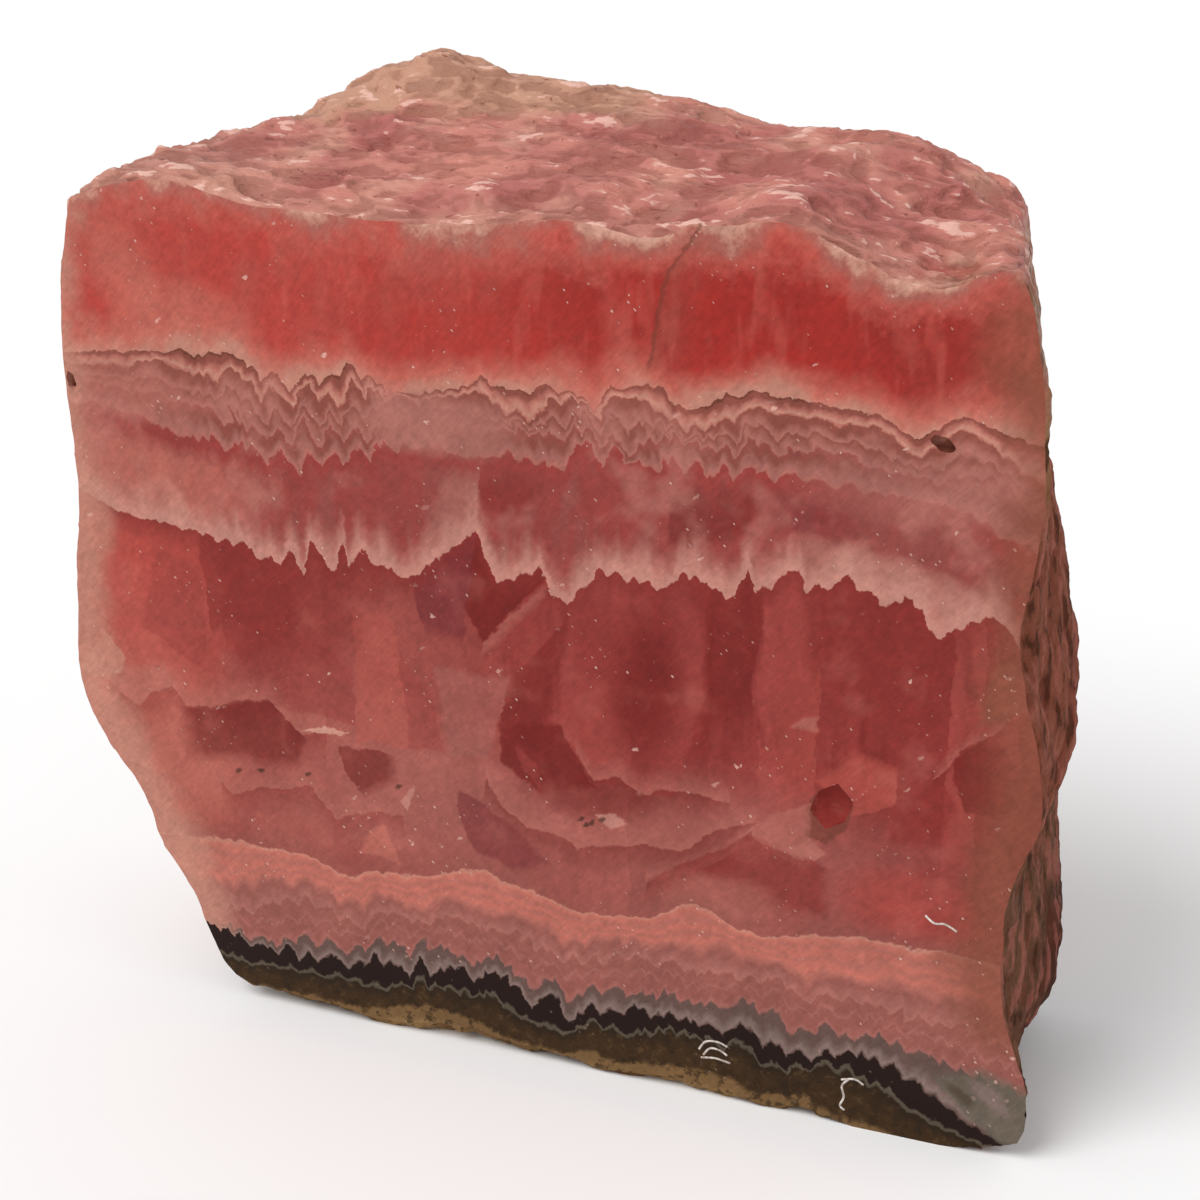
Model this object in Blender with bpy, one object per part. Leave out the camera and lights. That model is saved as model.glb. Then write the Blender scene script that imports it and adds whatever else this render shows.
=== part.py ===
"""A thick slice of banded rhodochrosite that stands upright on its dark base.

The stone is one solid. Its front is a flat polished cut, its back a flat sawn one, and
between them the broken rim is lofted through sections that were drawn by hand. Ledges,
flakes, ridges and the knobbly underside are worked into the rim by formula, the bottom
is worn flat where it stands, and chips and small cavities are cut out of the front.

Frame: +X right, +Y towards the back, +Z up, origin at the middle of the base.
"""

import math

import bmesh
import bpy
from mathutils import Vector, noise

MM = 0.001

# Driving sizes, in millimetres.
THICKNESS = 25.0
RIM_INSET = 0.45
RIM_DEPTH = 0.5
RING_SPACING = 1.45
CUT_FRONT_Y = -THICKNESS / 2
CUT_BACK_Y = THICKNESS / 2

# The outlines below are drawn about this x, which the finished stone moves to 0.
DRAWN_MIDDLE_X = -0.68

# How many points each side of a ring takes.
TOP_POINTS = 48
RIGHT_POINTS = 44
BOTTOM_POINTS = 44
LEFT_POINTS = 44

# Each side of the rim, as the outline it has at a few depths (y). The points are (x, z)
# in millimetres, clockwise as seen from the front, and the next side goes on from the last.
TOP = {
    CUT_FRONT_Y: [
        (-42.6, 75.7), (-40.8, 77.0), (-37.0, 77.9), (-32.5, 78.1), (-28.0, 77.3), (-24.0, 76.7),
        (-18.0, 76.7), (-11.0, 76.5), (-4.0, 77.0), (2.5, 77.9), (9.5, 77.2), (14.0, 78.1),
        (20.5, 79.2), (24.5, 78.2), (28.5, 76.4), (31.5, 75.4), (34.5, 75.7), (37.4, 77.0), (39.4, 76.8),
    ],
    4.5: [
        (-41.0, 76.8), (-37.0, 78.4), (-32.0, 79.7), (-27.0, 81.0), (-18.5, 82.2), (-12.0, 82.7),
        (-6.5, 82.9), (0.0, 82.9), (4.0, 83.2), (9.0, 82.4), (15.0, 81.7), (20.0, 82.2), (26.0, 81.4),
        (30.0, 80.0), (34.0, 78.4), (36.2, 76.9),
    ],
    8.0: [
        (-40.8, 77.0), (-36.0, 78.5), (-32.0, 79.1), (-29.6, 80.5), (-27.0, 82.7), (-22.0, 84.9),
        (-18.0, 86.0), (-15.0, 86.0), (-12.0, 84.9), (-5.0, 84.3), (0.0, 83.9), (6.0, 83.6), (10.0, 82.4),
        (15.0, 81.5), (20.5, 82.2), (24.0, 82.0), (27.0, 81.0), (31.0, 79.3), (35.0, 76.9),
    ],
    CUT_BACK_Y: [
        (-40.5, 77.0), (-36.8, 77.9), (-31.6, 79.0), (-28.5, 81.4), (-23.2, 84.1), (-18.4, 85.5),
        (-15.5, 85.5), (-12.0, 84.2), (-8.8, 84.0), (-1.4, 83.5), (6.0, 83.0), (9.5, 81.8), (15.0, 80.8),
        (20.0, 81.5), (23.5, 81.3), (28.0, 79.4), (32.0, 78.1), (34.2, 76.6),
    ],
}
RIGHT = {
    CUT_FRONT_Y: [
        (39.4, 76.8), (40.7, 74.5), (41.6, 70.0), (42.1, 64.5), (42.4, 60.0), (42.3, 55.0), (41.7, 49.5),
        (41.8, 45.0), (42.6, 41.0), (43.6, 37.0), (44.1, 31.5), (42.8, 27.3), (41.8, 22.0), (42.2, 16.0),
        (42.9, 12.0), (43.3, 10.4), (44.3, 7.7), (44.9, 4.3), (44.1, 1.4),
    ],
    -7.0: [
        (38.3, 76.9), (39.9, 72.5), (40.5, 67.0), (40.8, 61.0), (41.1, 55.0), (41.6, 49.0), (42.2, 43.0),
        (43.3, 37.0), (43.5, 31.0), (42.4, 26.0), (41.8, 20.0), (42.2, 14.5), (42.1, 10.5), (41.9, 7.0),
        (41.4, 4.0), (40.6, 1.5),
    ],
    2.0: [
        (36.6, 76.9), (37.9, 72.0), (38.5, 66.0), (39.1, 60.0), (40.6, 53.5), (41.6, 48.0), (42.6, 42.0),
        (43.5, 36.0), (43.1, 30.0), (42.3, 24.5), (42.8, 18.0), (43.4, 13.0), (43.1, 7.5), (39.6, 2.0),
    ],
    CUT_BACK_Y: [
        (34.2, 76.6), (34.9, 72.0), (35.5, 65.5), (36.1, 59.5), (37.8, 53.0), (39.3, 46.7), (40.7, 40.5),
        (41.3, 34.0), (41.0, 28.0), (40.9, 23.0), (41.3, 17.0), (41.9, 11.5), (41.2, 6.5), (37.0, 3.0),
    ],
}
BOTTOM = {
    CUT_FRONT_Y: [
        (44.1, 1.4), (40.5, 0.2), (36.0, -0.5), (31.5, -0.6), (28.2, -0.2), (24.6, 0.4), (21.0, -0.3),
        (17.0, 0.2), (12.5, 0.7), (7.9, 0.1), (2.0, 0.5), (-4.0, 1.1), (-9.0, 1.4), (-14.0, 0.5),
        (-19.0, 0.4), (-24.0, 0.9), (-29.4, 1.2),
    ],
    -8.0: [
        (40.8, 1.5), (37.0, -1.2), (30.0, -1.3), (20.0, -0.9), (10.0, -1.2), (0.0, -0.8), (-10.0, -1.1),
        (-20.0, -0.9), (-26.0, 0.0), (-29.4, 2.2),
    ],
    6.0: [
        (39.2, 2.0), (35.5, -1.0), (28.0, -1.4), (18.0, -1.0), (8.0, -1.4), (-4.0, -1.1), (-14.0, -1.3),
        (-22.0, -0.8), (-26.0, 0.6), (-28.6, 3.0),
    ],
    CUT_BACK_Y: [
        (37.0, 3.0), (33.0, 1.7), (27.0, 2.3), (19.0, 1.5), (10.0, 2.4), (1.0, 1.7), (-8.0, 2.5), (-17.0, 1.8),
        (-23.0, 2.6), (-27.0, 4.6),
    ],
}
LEFT = {
    CUT_FRONT_Y: [
        (-29.4, 1.2), (-31.9, 2.6), (-33.6, 5.6), (-35.6, 10.9), (-38.4, 14.9), (-39.3, 18.1), (-40.5, 20.7),
        (-43.2, 24.5), (-45.1, 28.3), (-45.8, 32.4), (-45.4, 37.4), (-45.2, 42.3), (-44.2, 49.0),
        (-44.4, 55.6), (-44.7, 62.0), (-44.4, 67.4), (-43.5, 71.8), (-42.6, 75.7),
    ],
    1.0: [
        (-28.8, 2.4), (-32.0, 7.5), (-36.0, 13.5), (-39.5, 20.0), (-43.4, 27.0), (-44.6, 34.0), (-43.9, 42.0),
        (-43.0, 50.0), (-43.5, 58.0), (-43.0, 66.0), (-42.4, 71.5), (-41.2, 76.4),
    ],
    CUT_BACK_Y: [
        (-27.0, 4.6), (-31.0, 9.5), (-35.5, 15.5), (-38.2, 22.0), (-41.4, 28.0), (-42.3, 36.0), (-41.0, 45.0),
        (-41.8, 54.0), (-41.0, 63.0), (-41.7, 70.0), (-40.5, 77.0),
    ],
}

# The relief of the broken rim: how wide each kind is along x, y and z, and how far it stands out, in
# millimetres. Flakes lie along the layers on the top, columns stand upright on the sides, ledges are
# long steps across the top, and knobs are round and lie underneath.
FLAKE_SIZE = (8.5, 4.0, 5.0)
FLAKE_TILT = (0.3, -0.7, 0.3)
FLAKE_RELIEF = 0.8
COLUMN_SIZE = (6.0, 4.2, 11.0)
COLUMN_TILT = (0.3, 0.7, 0.3)
COLUMN_RELIEF = 0.9
LEDGE_STEP = 1.7
LEDGE_RELIEF = 0.6
LEDGE_WANDER = 1.1
LEDGE_WAVE_SIZE = 16.0
KNOB_SIZE = 6.5
KNOB_RELIEF = 1.3
WAVE_SIZE = 10.0
WAVE_RELIEF = 0.45
GRAIN_SIZE = 3.0
GRAIN_RELIEF = 0.15

# Two cells that are neighbours draw unlike heights when their middles are spread by this much.
CELL_SPREAD = 7.3

# Next to a cut face the rim keeps this share of its relief, and all of it this far (mm) from the cut.
RELIEF_AT_CUT = 0.22
CUT_MARGIN = 1.6

# Chips and cavities in the cut front: (name, (x, z) of the middle, (width, depth, height), turn in degrees).
CAVITIES = [
    ("broken_out_crystal", (26.4, 30.4), (3.6, 1.9, 4.4), 12.0),
    ("small_vug", (34.0, 62.7), (2.3, 1.8, 1.0), 24.0),
    ("edge_vug", (-43.5, 59.3), (0.9, 2.6, 1.7), -18.0),
]

PINK = (0.52, 0.12, 0.10, 1.0)
ROUGHNESS = 0.42


def clear_scene():
    """Removes the objects that the file opened with."""
    for thing in list(bpy.data.objects):
        bpy.data.objects.remove(thing)


def spline_point(points, share):
    """The point at a share (0 to 1) of the way along a Catmull-Rom curve through the points."""
    spans = len(points) - 1
    at = min(max(share, 0.0), 1.0) * spans
    i = min(int(at), spans - 1)
    t = at - i
    p1, p2 = Vector(points[i]), Vector(points[i + 1])
    p0 = Vector(points[i - 1]) if i > 0 else 2 * p1 - p2
    p3 = Vector(points[i + 2]) if i + 2 <= spans else 2 * p2 - p1
    linear = (p2 - p0) * t
    square = (2 * p0 - 5 * p1 + 4 * p2 - p3) * t**2
    cubic = (3 * (p1 - p2) + p3 - p0) * t**3
    return p1 + 0.5 * (linear + square + cubic)


def even_points(points, count):
    """Count points spread evenly along the curve, from its start up to but without its end."""
    steps = 12 * count
    walk = [spline_point(points, k / steps) for k in range(steps + 1)]
    reached = [0.0]
    for a, b in zip(walk, walk[1:]):
        reached.append(reached[-1] + (b - a).length)
    found = []
    k = 0
    for n in range(count):
        goal = reached[-1] * n / count
        while reached[k + 1] < goal:
            k += 1
        share = (goal - reached[k]) / (reached[k + 1] - reached[k])
        found.append(walk[k].lerp(walk[k + 1], share))
    return found


def side_at(stations, y, count):
    """The points of one side at depth y, between the two drawn outlines that y lies between."""
    depths = sorted(stations)
    after = next((d for d in depths[1:] if y <= d), depths[-1])
    before = depths[depths.index(after) - 1]
    share = (y - before) / (after - before)
    near = even_points(stations[before], count)
    far = even_points(stations[after], count)
    return [a.lerp(b, share) for a, b in zip(near, far)]


def ring_at(y, inset):
    """The closed outline at depth y, drawn in by inset."""
    ring = (
        side_at(TOP, y, TOP_POINTS)
        + side_at(RIGHT, y, RIGHT_POINTS)
        + side_at(BOTTOM, y, BOTTOM_POINTS)
        + side_at(LEFT, y, LEFT_POINTS)
    )
    drawn_in = []
    for i, p in enumerate(ring):
        along = (ring[(i + 1) % len(ring)] - ring[i - 1]).normalized()
        inward = Vector((along.y, -along.x))
        drawn_in.append(p + inward * inset)
    return drawn_in


def ring_depths():
    """The depth and inset of every ring, from the cut front to the sawn back."""
    first = CUT_FRONT_Y + RIM_DEPTH
    last = CUT_BACK_Y - RIM_DEPTH
    steps = round((last - first) / RING_SPACING)
    inner = [(first + (last - first) * k / steps, 0.0) for k in range(steps + 1)]
    return [(CUT_FRONT_Y, RIM_INSET), *inner, (CUT_BACK_Y, RIM_INSET)]


def loft(mesh):
    """Extrudes one ring of points through every section, and closes both ends."""
    depths = ring_depths()
    count = TOP_POINTS + RIGHT_POINTS + BOTTOM_POINTS + LEFT_POINTS
    ring = bmesh.ops.create_circle(mesh, segments=count, radius=1.0)["verts"]
    edges = list(mesh.edges)
    for n, (y, inset) in enumerate(depths):
        if n > 0:
            grown = bmesh.ops.extrude_edge_only(mesh, edges=edges)["geom"]
            follower = {}
            fresh = {v for v in grown if isinstance(v, bmesh.types.BMVert)}
            for old in ring:
                follower[old] = next(e.other_vert(old) for e in old.link_edges if e.other_vert(old) in fresh)
            ring = [follower[v] for v in ring]
            edges = [e for e in grown if isinstance(e, bmesh.types.BMEdge)]
        for vert, (x, z) in zip(ring, ring_at(y, inset)):
            vert.co = (x, y, z)
    bmesh.ops.holes_fill(mesh, edges=[e for e in mesh.edges if e.is_boundary], sides=0)
    bmesh.ops.recalc_face_normals(mesh, faces=mesh.faces)


def smoothstep(low, high, value):
    """0 below low, 1 above high, and a smooth rise between them."""
    t = min(max((value - low) / (high - low), 0.0), 1.0)
    return t * t * (3 - 2 * t)


def waves(co, size):
    """Layered noise from about -1 to 1, whose largest waves are about the given size."""
    return noise.fractal(Vector(co) / size, 0.9, 2.1, 3)


def splinters(co, size, tilt):
    """Broken crystal ends: cells of the given size, each with its own height and its own slope."""
    at = Vector(c / s for c, s in zip(co, size))
    distances, middles = noise.voronoi(at)
    height = noise.cell(middles[0] * CELL_SPREAD) - 0.5
    slope = (at - middles[0]).dot(Vector(tilt))
    inside = smoothstep(0.0, 0.35, distances[1] - distances[0])
    return (height + slope) * inside


def ledges(co):
    """Steps on the top, where the stone broke along its layers: long shelves across the slope."""
    wander = LEDGE_WANDER * waves((co.x, 1.6 * co.y, 50.0), LEDGE_WAVE_SIZE)
    level = (co.z + wander) / LEDGE_STEP
    riser = smoothstep(0.35, 0.65, level - math.floor(level))
    return math.floor(level) + riser - level


def knobs(co):
    """Round knobs under the dark base, each cell of them a low dome."""
    nearest = noise.voronoi(Vector((co.x / KNOB_SIZE, co.y / KNOB_SIZE, 0.5)))[0][0]
    return 0.5 - nearest**2


def relief(co, out):
    """How far the broken rim stands out at a point that faces out, in millimetres."""
    up = smoothstep(0.35, 0.85, out.z)
    down = smoothstep(0.35, 0.85, -out.z)
    aside = 1 - up - down
    height = WAVE_RELIEF * waves(co, WAVE_SIZE) + GRAIN_RELIEF * waves(co, GRAIN_SIZE)
    height += up * LEDGE_RELIEF * LEDGE_STEP * ledges(co)
    height += up * FLAKE_RELIEF * splinters(co, FLAKE_SIZE, FLAKE_TILT)
    height += aside * COLUMN_RELIEF * splinters(co, COLUMN_SIZE, COLUMN_TILT)
    return height + down * KNOB_RELIEF * knobs(co)


def roughen(mesh):
    """Breaks up the rim. Points only move across the depth, so both cut faces stay flat."""
    mesh.normal_update()
    moves = {}
    for vert in mesh.verts:
        out = Vector((vert.normal.x, 0.0, vert.normal.z)).normalized()
        from_cut = min(vert.co.y - CUT_FRONT_Y, CUT_BACK_Y - vert.co.y)
        strength = RELIEF_AT_CUT + (1 - RELIEF_AT_CUT) * smoothstep(0.0, CUT_MARGIN, from_cut)
        moves[vert] = out * relief(vert.co, out) * strength
    for vert, move in moves.items():
        vert.co += move


def wear_base_flat(mesh):
    """Cuts the underside off level where the stone stands."""
    geom = [*mesh.verts, *mesh.edges, *mesh.faces]
    bmesh.ops.bisect_plane(
        mesh, geom=geom, dist=1e-4, plane_co=(0.0, 0.0, 0.0), plane_no=(0.0, 0.0, 1.0), clear_inner=True
    )
    bmesh.ops.holes_fill(mesh, edges=[e for e in mesh.edges if e.is_boundary], sides=0)
    bmesh.ops.recalc_face_normals(mesh, faces=mesh.faces)


def stone_material():
    """Pink stone with a dull polish."""
    finish = bpy.data.materials.new("rhodochrosite")
    finish.use_nodes = True
    shader = finish.node_tree.nodes["Principled BSDF"]
    shader.inputs["Base Color"].default_value = PINK
    shader.inputs["Roughness"].default_value = ROUGHNESS
    shader.inputs["Metallic"].default_value = 0.0
    return finish


def linked(name, mesh, collection):
    """A new object of the mesh, in the collection."""
    thing = bpy.data.objects.new(name, mesh)
    collection.objects.link(thing)
    return thing


def make_stone(collection):
    """The slice itself."""
    shape = bmesh.new()
    loft(shape)
    roughen(shape)
    wear_base_flat(shape)
    bmesh.ops.triangulate(shape, faces=shape.faces, ngon_method="BEAUTY")
    bmesh.ops.translate(shape, vec=(-DRAWN_MIDDLE_X, 0.0, 0.0), verts=shape.verts)
    bmesh.ops.scale(shape, vec=(MM, MM, MM), verts=shape.verts)
    mesh = bpy.data.meshes.new("rhodochrosite_slice")
    shape.to_mesh(mesh)
    shape.free()
    mesh.materials.append(stone_material())
    return linked("rhodochrosite_slice", mesh, collection)


def cut_cavities(stone, cutters):
    """Takes the small cavities out of the cut front with faceted cutters."""
    for name, (x, z), (width, depth, height), turn in CAVITIES:
        shape = bmesh.new()
        bmesh.ops.create_icosphere(shape, subdivisions=1, radius=0.5)
        bmesh.ops.scale(shape, vec=(width * MM, depth * MM, height * MM), verts=shape.verts)
        mesh = bpy.data.meshes.new(name)
        shape.to_mesh(mesh)
        shape.free()
        cutter = linked(name, mesh, cutters)
        cutter.location = ((x - DRAWN_MIDDLE_X) * MM, CUT_FRONT_Y * MM, z * MM)
        cutter.rotation_euler = (0.0, math.radians(turn), 0.0)
        cutter.hide_render = True
        cutter.display_type = "WIRE"
        cut = stone.modifiers.new(name, "BOOLEAN")
        cut.operation = "DIFFERENCE"
        cut.object = cutter


def main():
    """Builds the slice in the open scene."""
    clear_scene()
    collection = bpy.data.collections.new("rhodochrosite_slice")
    cutters = bpy.data.collections.new("cutters")
    for group in (collection, cutters):
        bpy.context.scene.collection.children.link(group)
    stone = make_stone(collection)
    cut_cavities(stone, cutters)


main()
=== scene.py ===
"""A dressed slice of banded rhodochrosite, standing upright on a pale studio floor.

The stone's surface is worked up from the frame's own solid: the broken rim is cut finer and
splintered, and the two cut faces are closed flat again. The surface is parted into zones. For each
zone a shader group, in millimetres, lays down the growth bands from the red layer at the top to the
dark base, and the zone's finish wears it in its own way. Three wisps of lint lie on the cut front.
The places of bands, crystals and lint are (x, z) on the cut front, in millimetres.
"""

import logging
import math
from collections.abc import Sequence
from dataclasses import dataclass, field
from enum import Enum
from itertools import pairwise

import bmesh
import bpy
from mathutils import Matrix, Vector, noise


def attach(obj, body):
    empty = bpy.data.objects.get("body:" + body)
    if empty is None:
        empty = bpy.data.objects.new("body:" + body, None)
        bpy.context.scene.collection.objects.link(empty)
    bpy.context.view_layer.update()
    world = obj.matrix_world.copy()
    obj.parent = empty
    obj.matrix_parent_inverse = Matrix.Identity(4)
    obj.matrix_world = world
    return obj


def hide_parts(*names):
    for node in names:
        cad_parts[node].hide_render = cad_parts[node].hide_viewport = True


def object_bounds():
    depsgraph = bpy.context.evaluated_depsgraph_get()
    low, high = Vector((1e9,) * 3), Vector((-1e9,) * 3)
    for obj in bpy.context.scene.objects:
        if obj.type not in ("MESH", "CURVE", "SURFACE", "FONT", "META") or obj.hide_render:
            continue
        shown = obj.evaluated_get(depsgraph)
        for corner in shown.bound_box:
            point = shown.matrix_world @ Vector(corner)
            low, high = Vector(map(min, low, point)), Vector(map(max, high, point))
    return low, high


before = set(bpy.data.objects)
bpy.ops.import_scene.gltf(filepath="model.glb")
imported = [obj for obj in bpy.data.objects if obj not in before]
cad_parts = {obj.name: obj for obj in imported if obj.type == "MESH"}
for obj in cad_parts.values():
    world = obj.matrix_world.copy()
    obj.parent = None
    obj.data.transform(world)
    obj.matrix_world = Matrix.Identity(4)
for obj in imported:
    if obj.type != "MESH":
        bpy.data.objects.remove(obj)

CAD_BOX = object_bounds()
NODE = "rhodochrosite_slice"
MM = 0.001
FRONT_Y = -12.5
BACK_Y = 12.5
DRAWN_MIDDLE_X = -0.68

LOG = logging.getLogger("rhodochrosite")

Socket = bpy.types.NodeSocket
Number = float | Socket
Triple = Sequence[float] | Socket

GLOSS_VEIL = 0.010


def tint(red: int, green: int, blue: int) -> tuple[float, float, float, float]:
    """Gives the base colour that shows as these 0 to 255 values under the studio's soft gloss.

    Args:
        red: the red that shows.
        green: the green that shows.
        blue: the blue that shows.

    Returns:
        The linear colour, less what the gloss adds.
    """
    levels = [c / 255 for c in (red, green, blue)]
    linear = [c / 12.92 if c <= 0.04045 else ((c + 0.055) / 1.055) ** 2.4 for c in levels]
    return (*(max(c - GLOSS_VEIL, 0.15 * c) for c in linear), 1.0)


def smoothstep(low: float, high: float, value: float) -> float:
    """Gives 0 below low, 1 above high and a smooth rise between them."""
    t = min(max((value - low) / (high - low), 0.0), 1.0)
    return t * t * (3 - 2 * t)


class Wiring:
    """Adds nodes to one tree and joins them up."""

    def __init__(self, tree: bpy.types.NodeTree) -> None:
        """Keeps the tree that the nodes go in."""
        self.tree = tree

    def add(self, kind: str, **settings: object) -> bpy.types.Node:
        """Adds one node.

        Args:
            kind: the node's type.
            settings: its properties by name.

        Returns:
            The node.
        """
        node = self.tree.nodes.new(kind)
        for name, value in settings.items():
            setattr(node, name, value)
        return node

    def put(self, socket: Socket, value: object) -> None:
        """Links a socket, or sets its own value."""
        if isinstance(value, bpy.types.NodeSocket):
            self.tree.links.new(value, socket)
        elif value is not None:
            socket.default_value = value

    def math(self, operation: str, a: Number, b: Number | None = None, c: Number | None = None) -> Socket:
        """Gives a Math node's result."""
        node = self.add("ShaderNodeMath", operation=operation)
        for socket, value in zip(node.inputs, (a, b, c)):
            self.put(socket, value)
        return node.outputs[0]

    def vector(
        self, operation: str, a: Triple, b: Triple | None = None, c: Triple | None = None,
        scale: Number | None = None,
    ) -> Socket:
        """Gives a Vector Math node's vector, or its value for a dot product."""
        node = self.add("ShaderNodeVectorMath", operation=operation)
        for socket, value in zip(node.inputs, (a, b, c)):
            self.put(socket, value)
        if scale is not None:
            self.put(node.inputs["Scale"], scale)
        return node.outputs["Value" if operation == "DOT_PRODUCT" else "Vector"]

    def join(self, x: Number, y: Number, z: Number) -> Socket:
        """Gives a vector made of three values."""
        node = self.add("ShaderNodeCombineXYZ")
        for socket, value in zip(node.inputs, (x, y, z)):
            self.put(socket, value)
        return node.outputs[0]

    def split(self, vector: Socket) -> tuple[Socket, Socket, Socket]:
        """Gives a vector's three values."""
        node = self.add("ShaderNodeSeparateXYZ")
        self.put(node.inputs[0], vector)
        return tuple(node.outputs)

    def reach(
        self, value: Number, low: Number, high: Number, to_low: Number = 0.0, to_high: Number = 1.0,
        smooth: bool = True,
    ) -> Socket:
        """Maps a value from one range to another, held at both ends.

        Args:
            value: what is mapped.
            low: the value that gives to_low.
            high: the value that gives to_high.
            to_low: the result at low.
            to_high: the result at high.
            smooth: whether the rise is smooth or straight.

        Returns:
            The mapped value.
        """
        node = self.add("ShaderNodeMapRange", interpolation_type="SMOOTHSTEP" if smooth else "LINEAR")
        for name, number in zip(("Value", "From Min", "From Max", "To Min", "To Max"), (value, low, high, to_low, to_high)):
            self.put(node.inputs[name], number)
        return node.outputs[0]

    def mix(self, share: Number, a: Triple, b: Triple) -> Socket:
        """Gives the colour that is a share of the way from a to b."""
        node = self.add("ShaderNodeMix", data_type="RGBA", clamp_factor=True)
        self.put(node.inputs[0], share)
        self.put(node.inputs[6], a)
        self.put(node.inputs[7], b)
        return node.outputs[2]

    def ramp(self, value: Number, stops: Sequence[tuple[float, Sequence[float]]]) -> bpy.types.Node:
        """Gives a colour ramp over a value.

        Args:
            value: what is looked up.
            stops: (value, colour with alpha), from low to high.

        Returns:
            The ramp's node, with the outputs Color and Alpha.
        """
        low, high = stops[0][0], stops[-1][0]
        node = self.add("ShaderNodeValToRGB")
        self.put(node.inputs[0], self.math("MULTIPLY_ADD", value, 1 / (high - low), -low / (high - low)))
        elements = node.color_ramp.elements
        elements[0].color = stops[0][1]
        elements[1].color = stops[-1][1]
        for at, colour in stops[1:-1]:
            elements.new((at - low) / (high - low)).color = colour
        return node

    def line(self, x: Socket, points: Sequence[tuple[float, float]]) -> Socket:
        """Gives the height z of a drawn line at x, both in millimetres."""
        node = self.add("ShaderNodeFloatCurve")
        self.put(node.inputs["Value"], x)
        node.mapping.use_clip = False
        curve = node.mapping.curves[0]
        curve.points[0].location = points[0]
        curve.points[1].location = points[-1]
        for place in points[1:-1]:
            curve.points.new(*place)
        for point in curve.points:
            point.handle_type = "VECTOR"
        node.mapping.update()
        return node.outputs[0]

    def noise(self, point: Socket, scale: float, detail: float = 1.0, roughness: float = 0.5) -> Socket:
        """Gives three noises of about -0.5 to 0.5, as a vector."""
        node = self.add("ShaderNodeTexNoise")
        for name, value in zip(("Vector", "Scale", "Detail", "Roughness"), (point, scale, detail, roughness)):
            self.put(node.inputs[name], value)
        return self.vector("SUBTRACT", node.outputs["Color"], (0.5, 0.5, 0.5))

    def soft_noise(self, point: Socket, scale: float, detail: float = 1.0) -> Socket:
        """Gives one noise of about -0.5 to 0.5."""
        node = self.add("ShaderNodeTexNoise")
        for name, value in zip(("Vector", "Scale", "Detail"), (point, scale, detail)):
            self.put(node.inputs[name], value)
        return self.math("SUBTRACT", node.outputs["Fac"], 0.5)

    def level(self, x: Socket, z: Socket, points: Sequence[tuple[float, float]]) -> Socket:
        """Gives the height over a drawn line, in millimetres."""
        return self.math("SUBTRACT", z, self.line(x, points))

    def cells(self, point: Socket, scale: float = 1.0, dimensions: str = "3D") -> bpy.types.Node:
        """Gives a Voronoi node over the point."""
        node = self.add("ShaderNodeTexVoronoi", voronoi_dimensions=dimensions)
        self.put(node.inputs["Vector"], point)
        self.put(node.inputs["Scale"], scale)
        return node

    def teeth(self, x: Number, width: float) -> Socket:
        """Gives a sharp zigzag along x, about -0.25 to 0.5 widths, with teeth of uneven breadth."""
        node = self.add("ShaderNodeTexVoronoi", voronoi_dimensions="1D")
        self.put(node.inputs["W"], x)
        self.put(node.inputs["Scale"], 1 / width)
        return self.math("MULTIPLY_ADD", node.outputs["Distance"], width, -0.25 * width)

    def group(self, group: bpy.types.NodeTree, **values: object) -> bpy.types.Node:
        """Places a node group with its values by input name, spaces written as underscores."""
        node = self.add("ShaderNodeGroup", node_tree=group)
        for name, value in values.items():
            self.put(node.inputs[name.replace("_", " ")], value)
        return node


def new_group(name: str, inputs: dict[str, str], outputs: dict[str, str]) -> tuple[bpy.types.NodeTree, Wiring, dict, dict]:
    """Starts a shader node group.

    Args:
        name: the group's name.
        inputs: each input's name and kind, which is Float, Vector or Color.
        outputs: each output's name and kind.

    Returns:
        The group, its wiring, the inputs' sockets by name and the outputs' sockets by name.
    """
    group = bpy.data.node_groups.new(name, "ShaderNodeTree")
    for label, kind in inputs.items():
        group.interface.new_socket(label, in_out="INPUT", socket_type=f"NodeSocket{kind}")
    for label, kind in outputs.items():
        group.interface.new_socket(label, in_out="OUTPUT", socket_type=f"NodeSocket{kind}")
    wiring = Wiring(group)
    given = wiring.add("NodeGroupInput")
    result = wiring.add("NodeGroupOutput")
    return group, wiring, {s.name: s for s in given.outputs}, {s.name: s for s in result.inputs}


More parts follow.
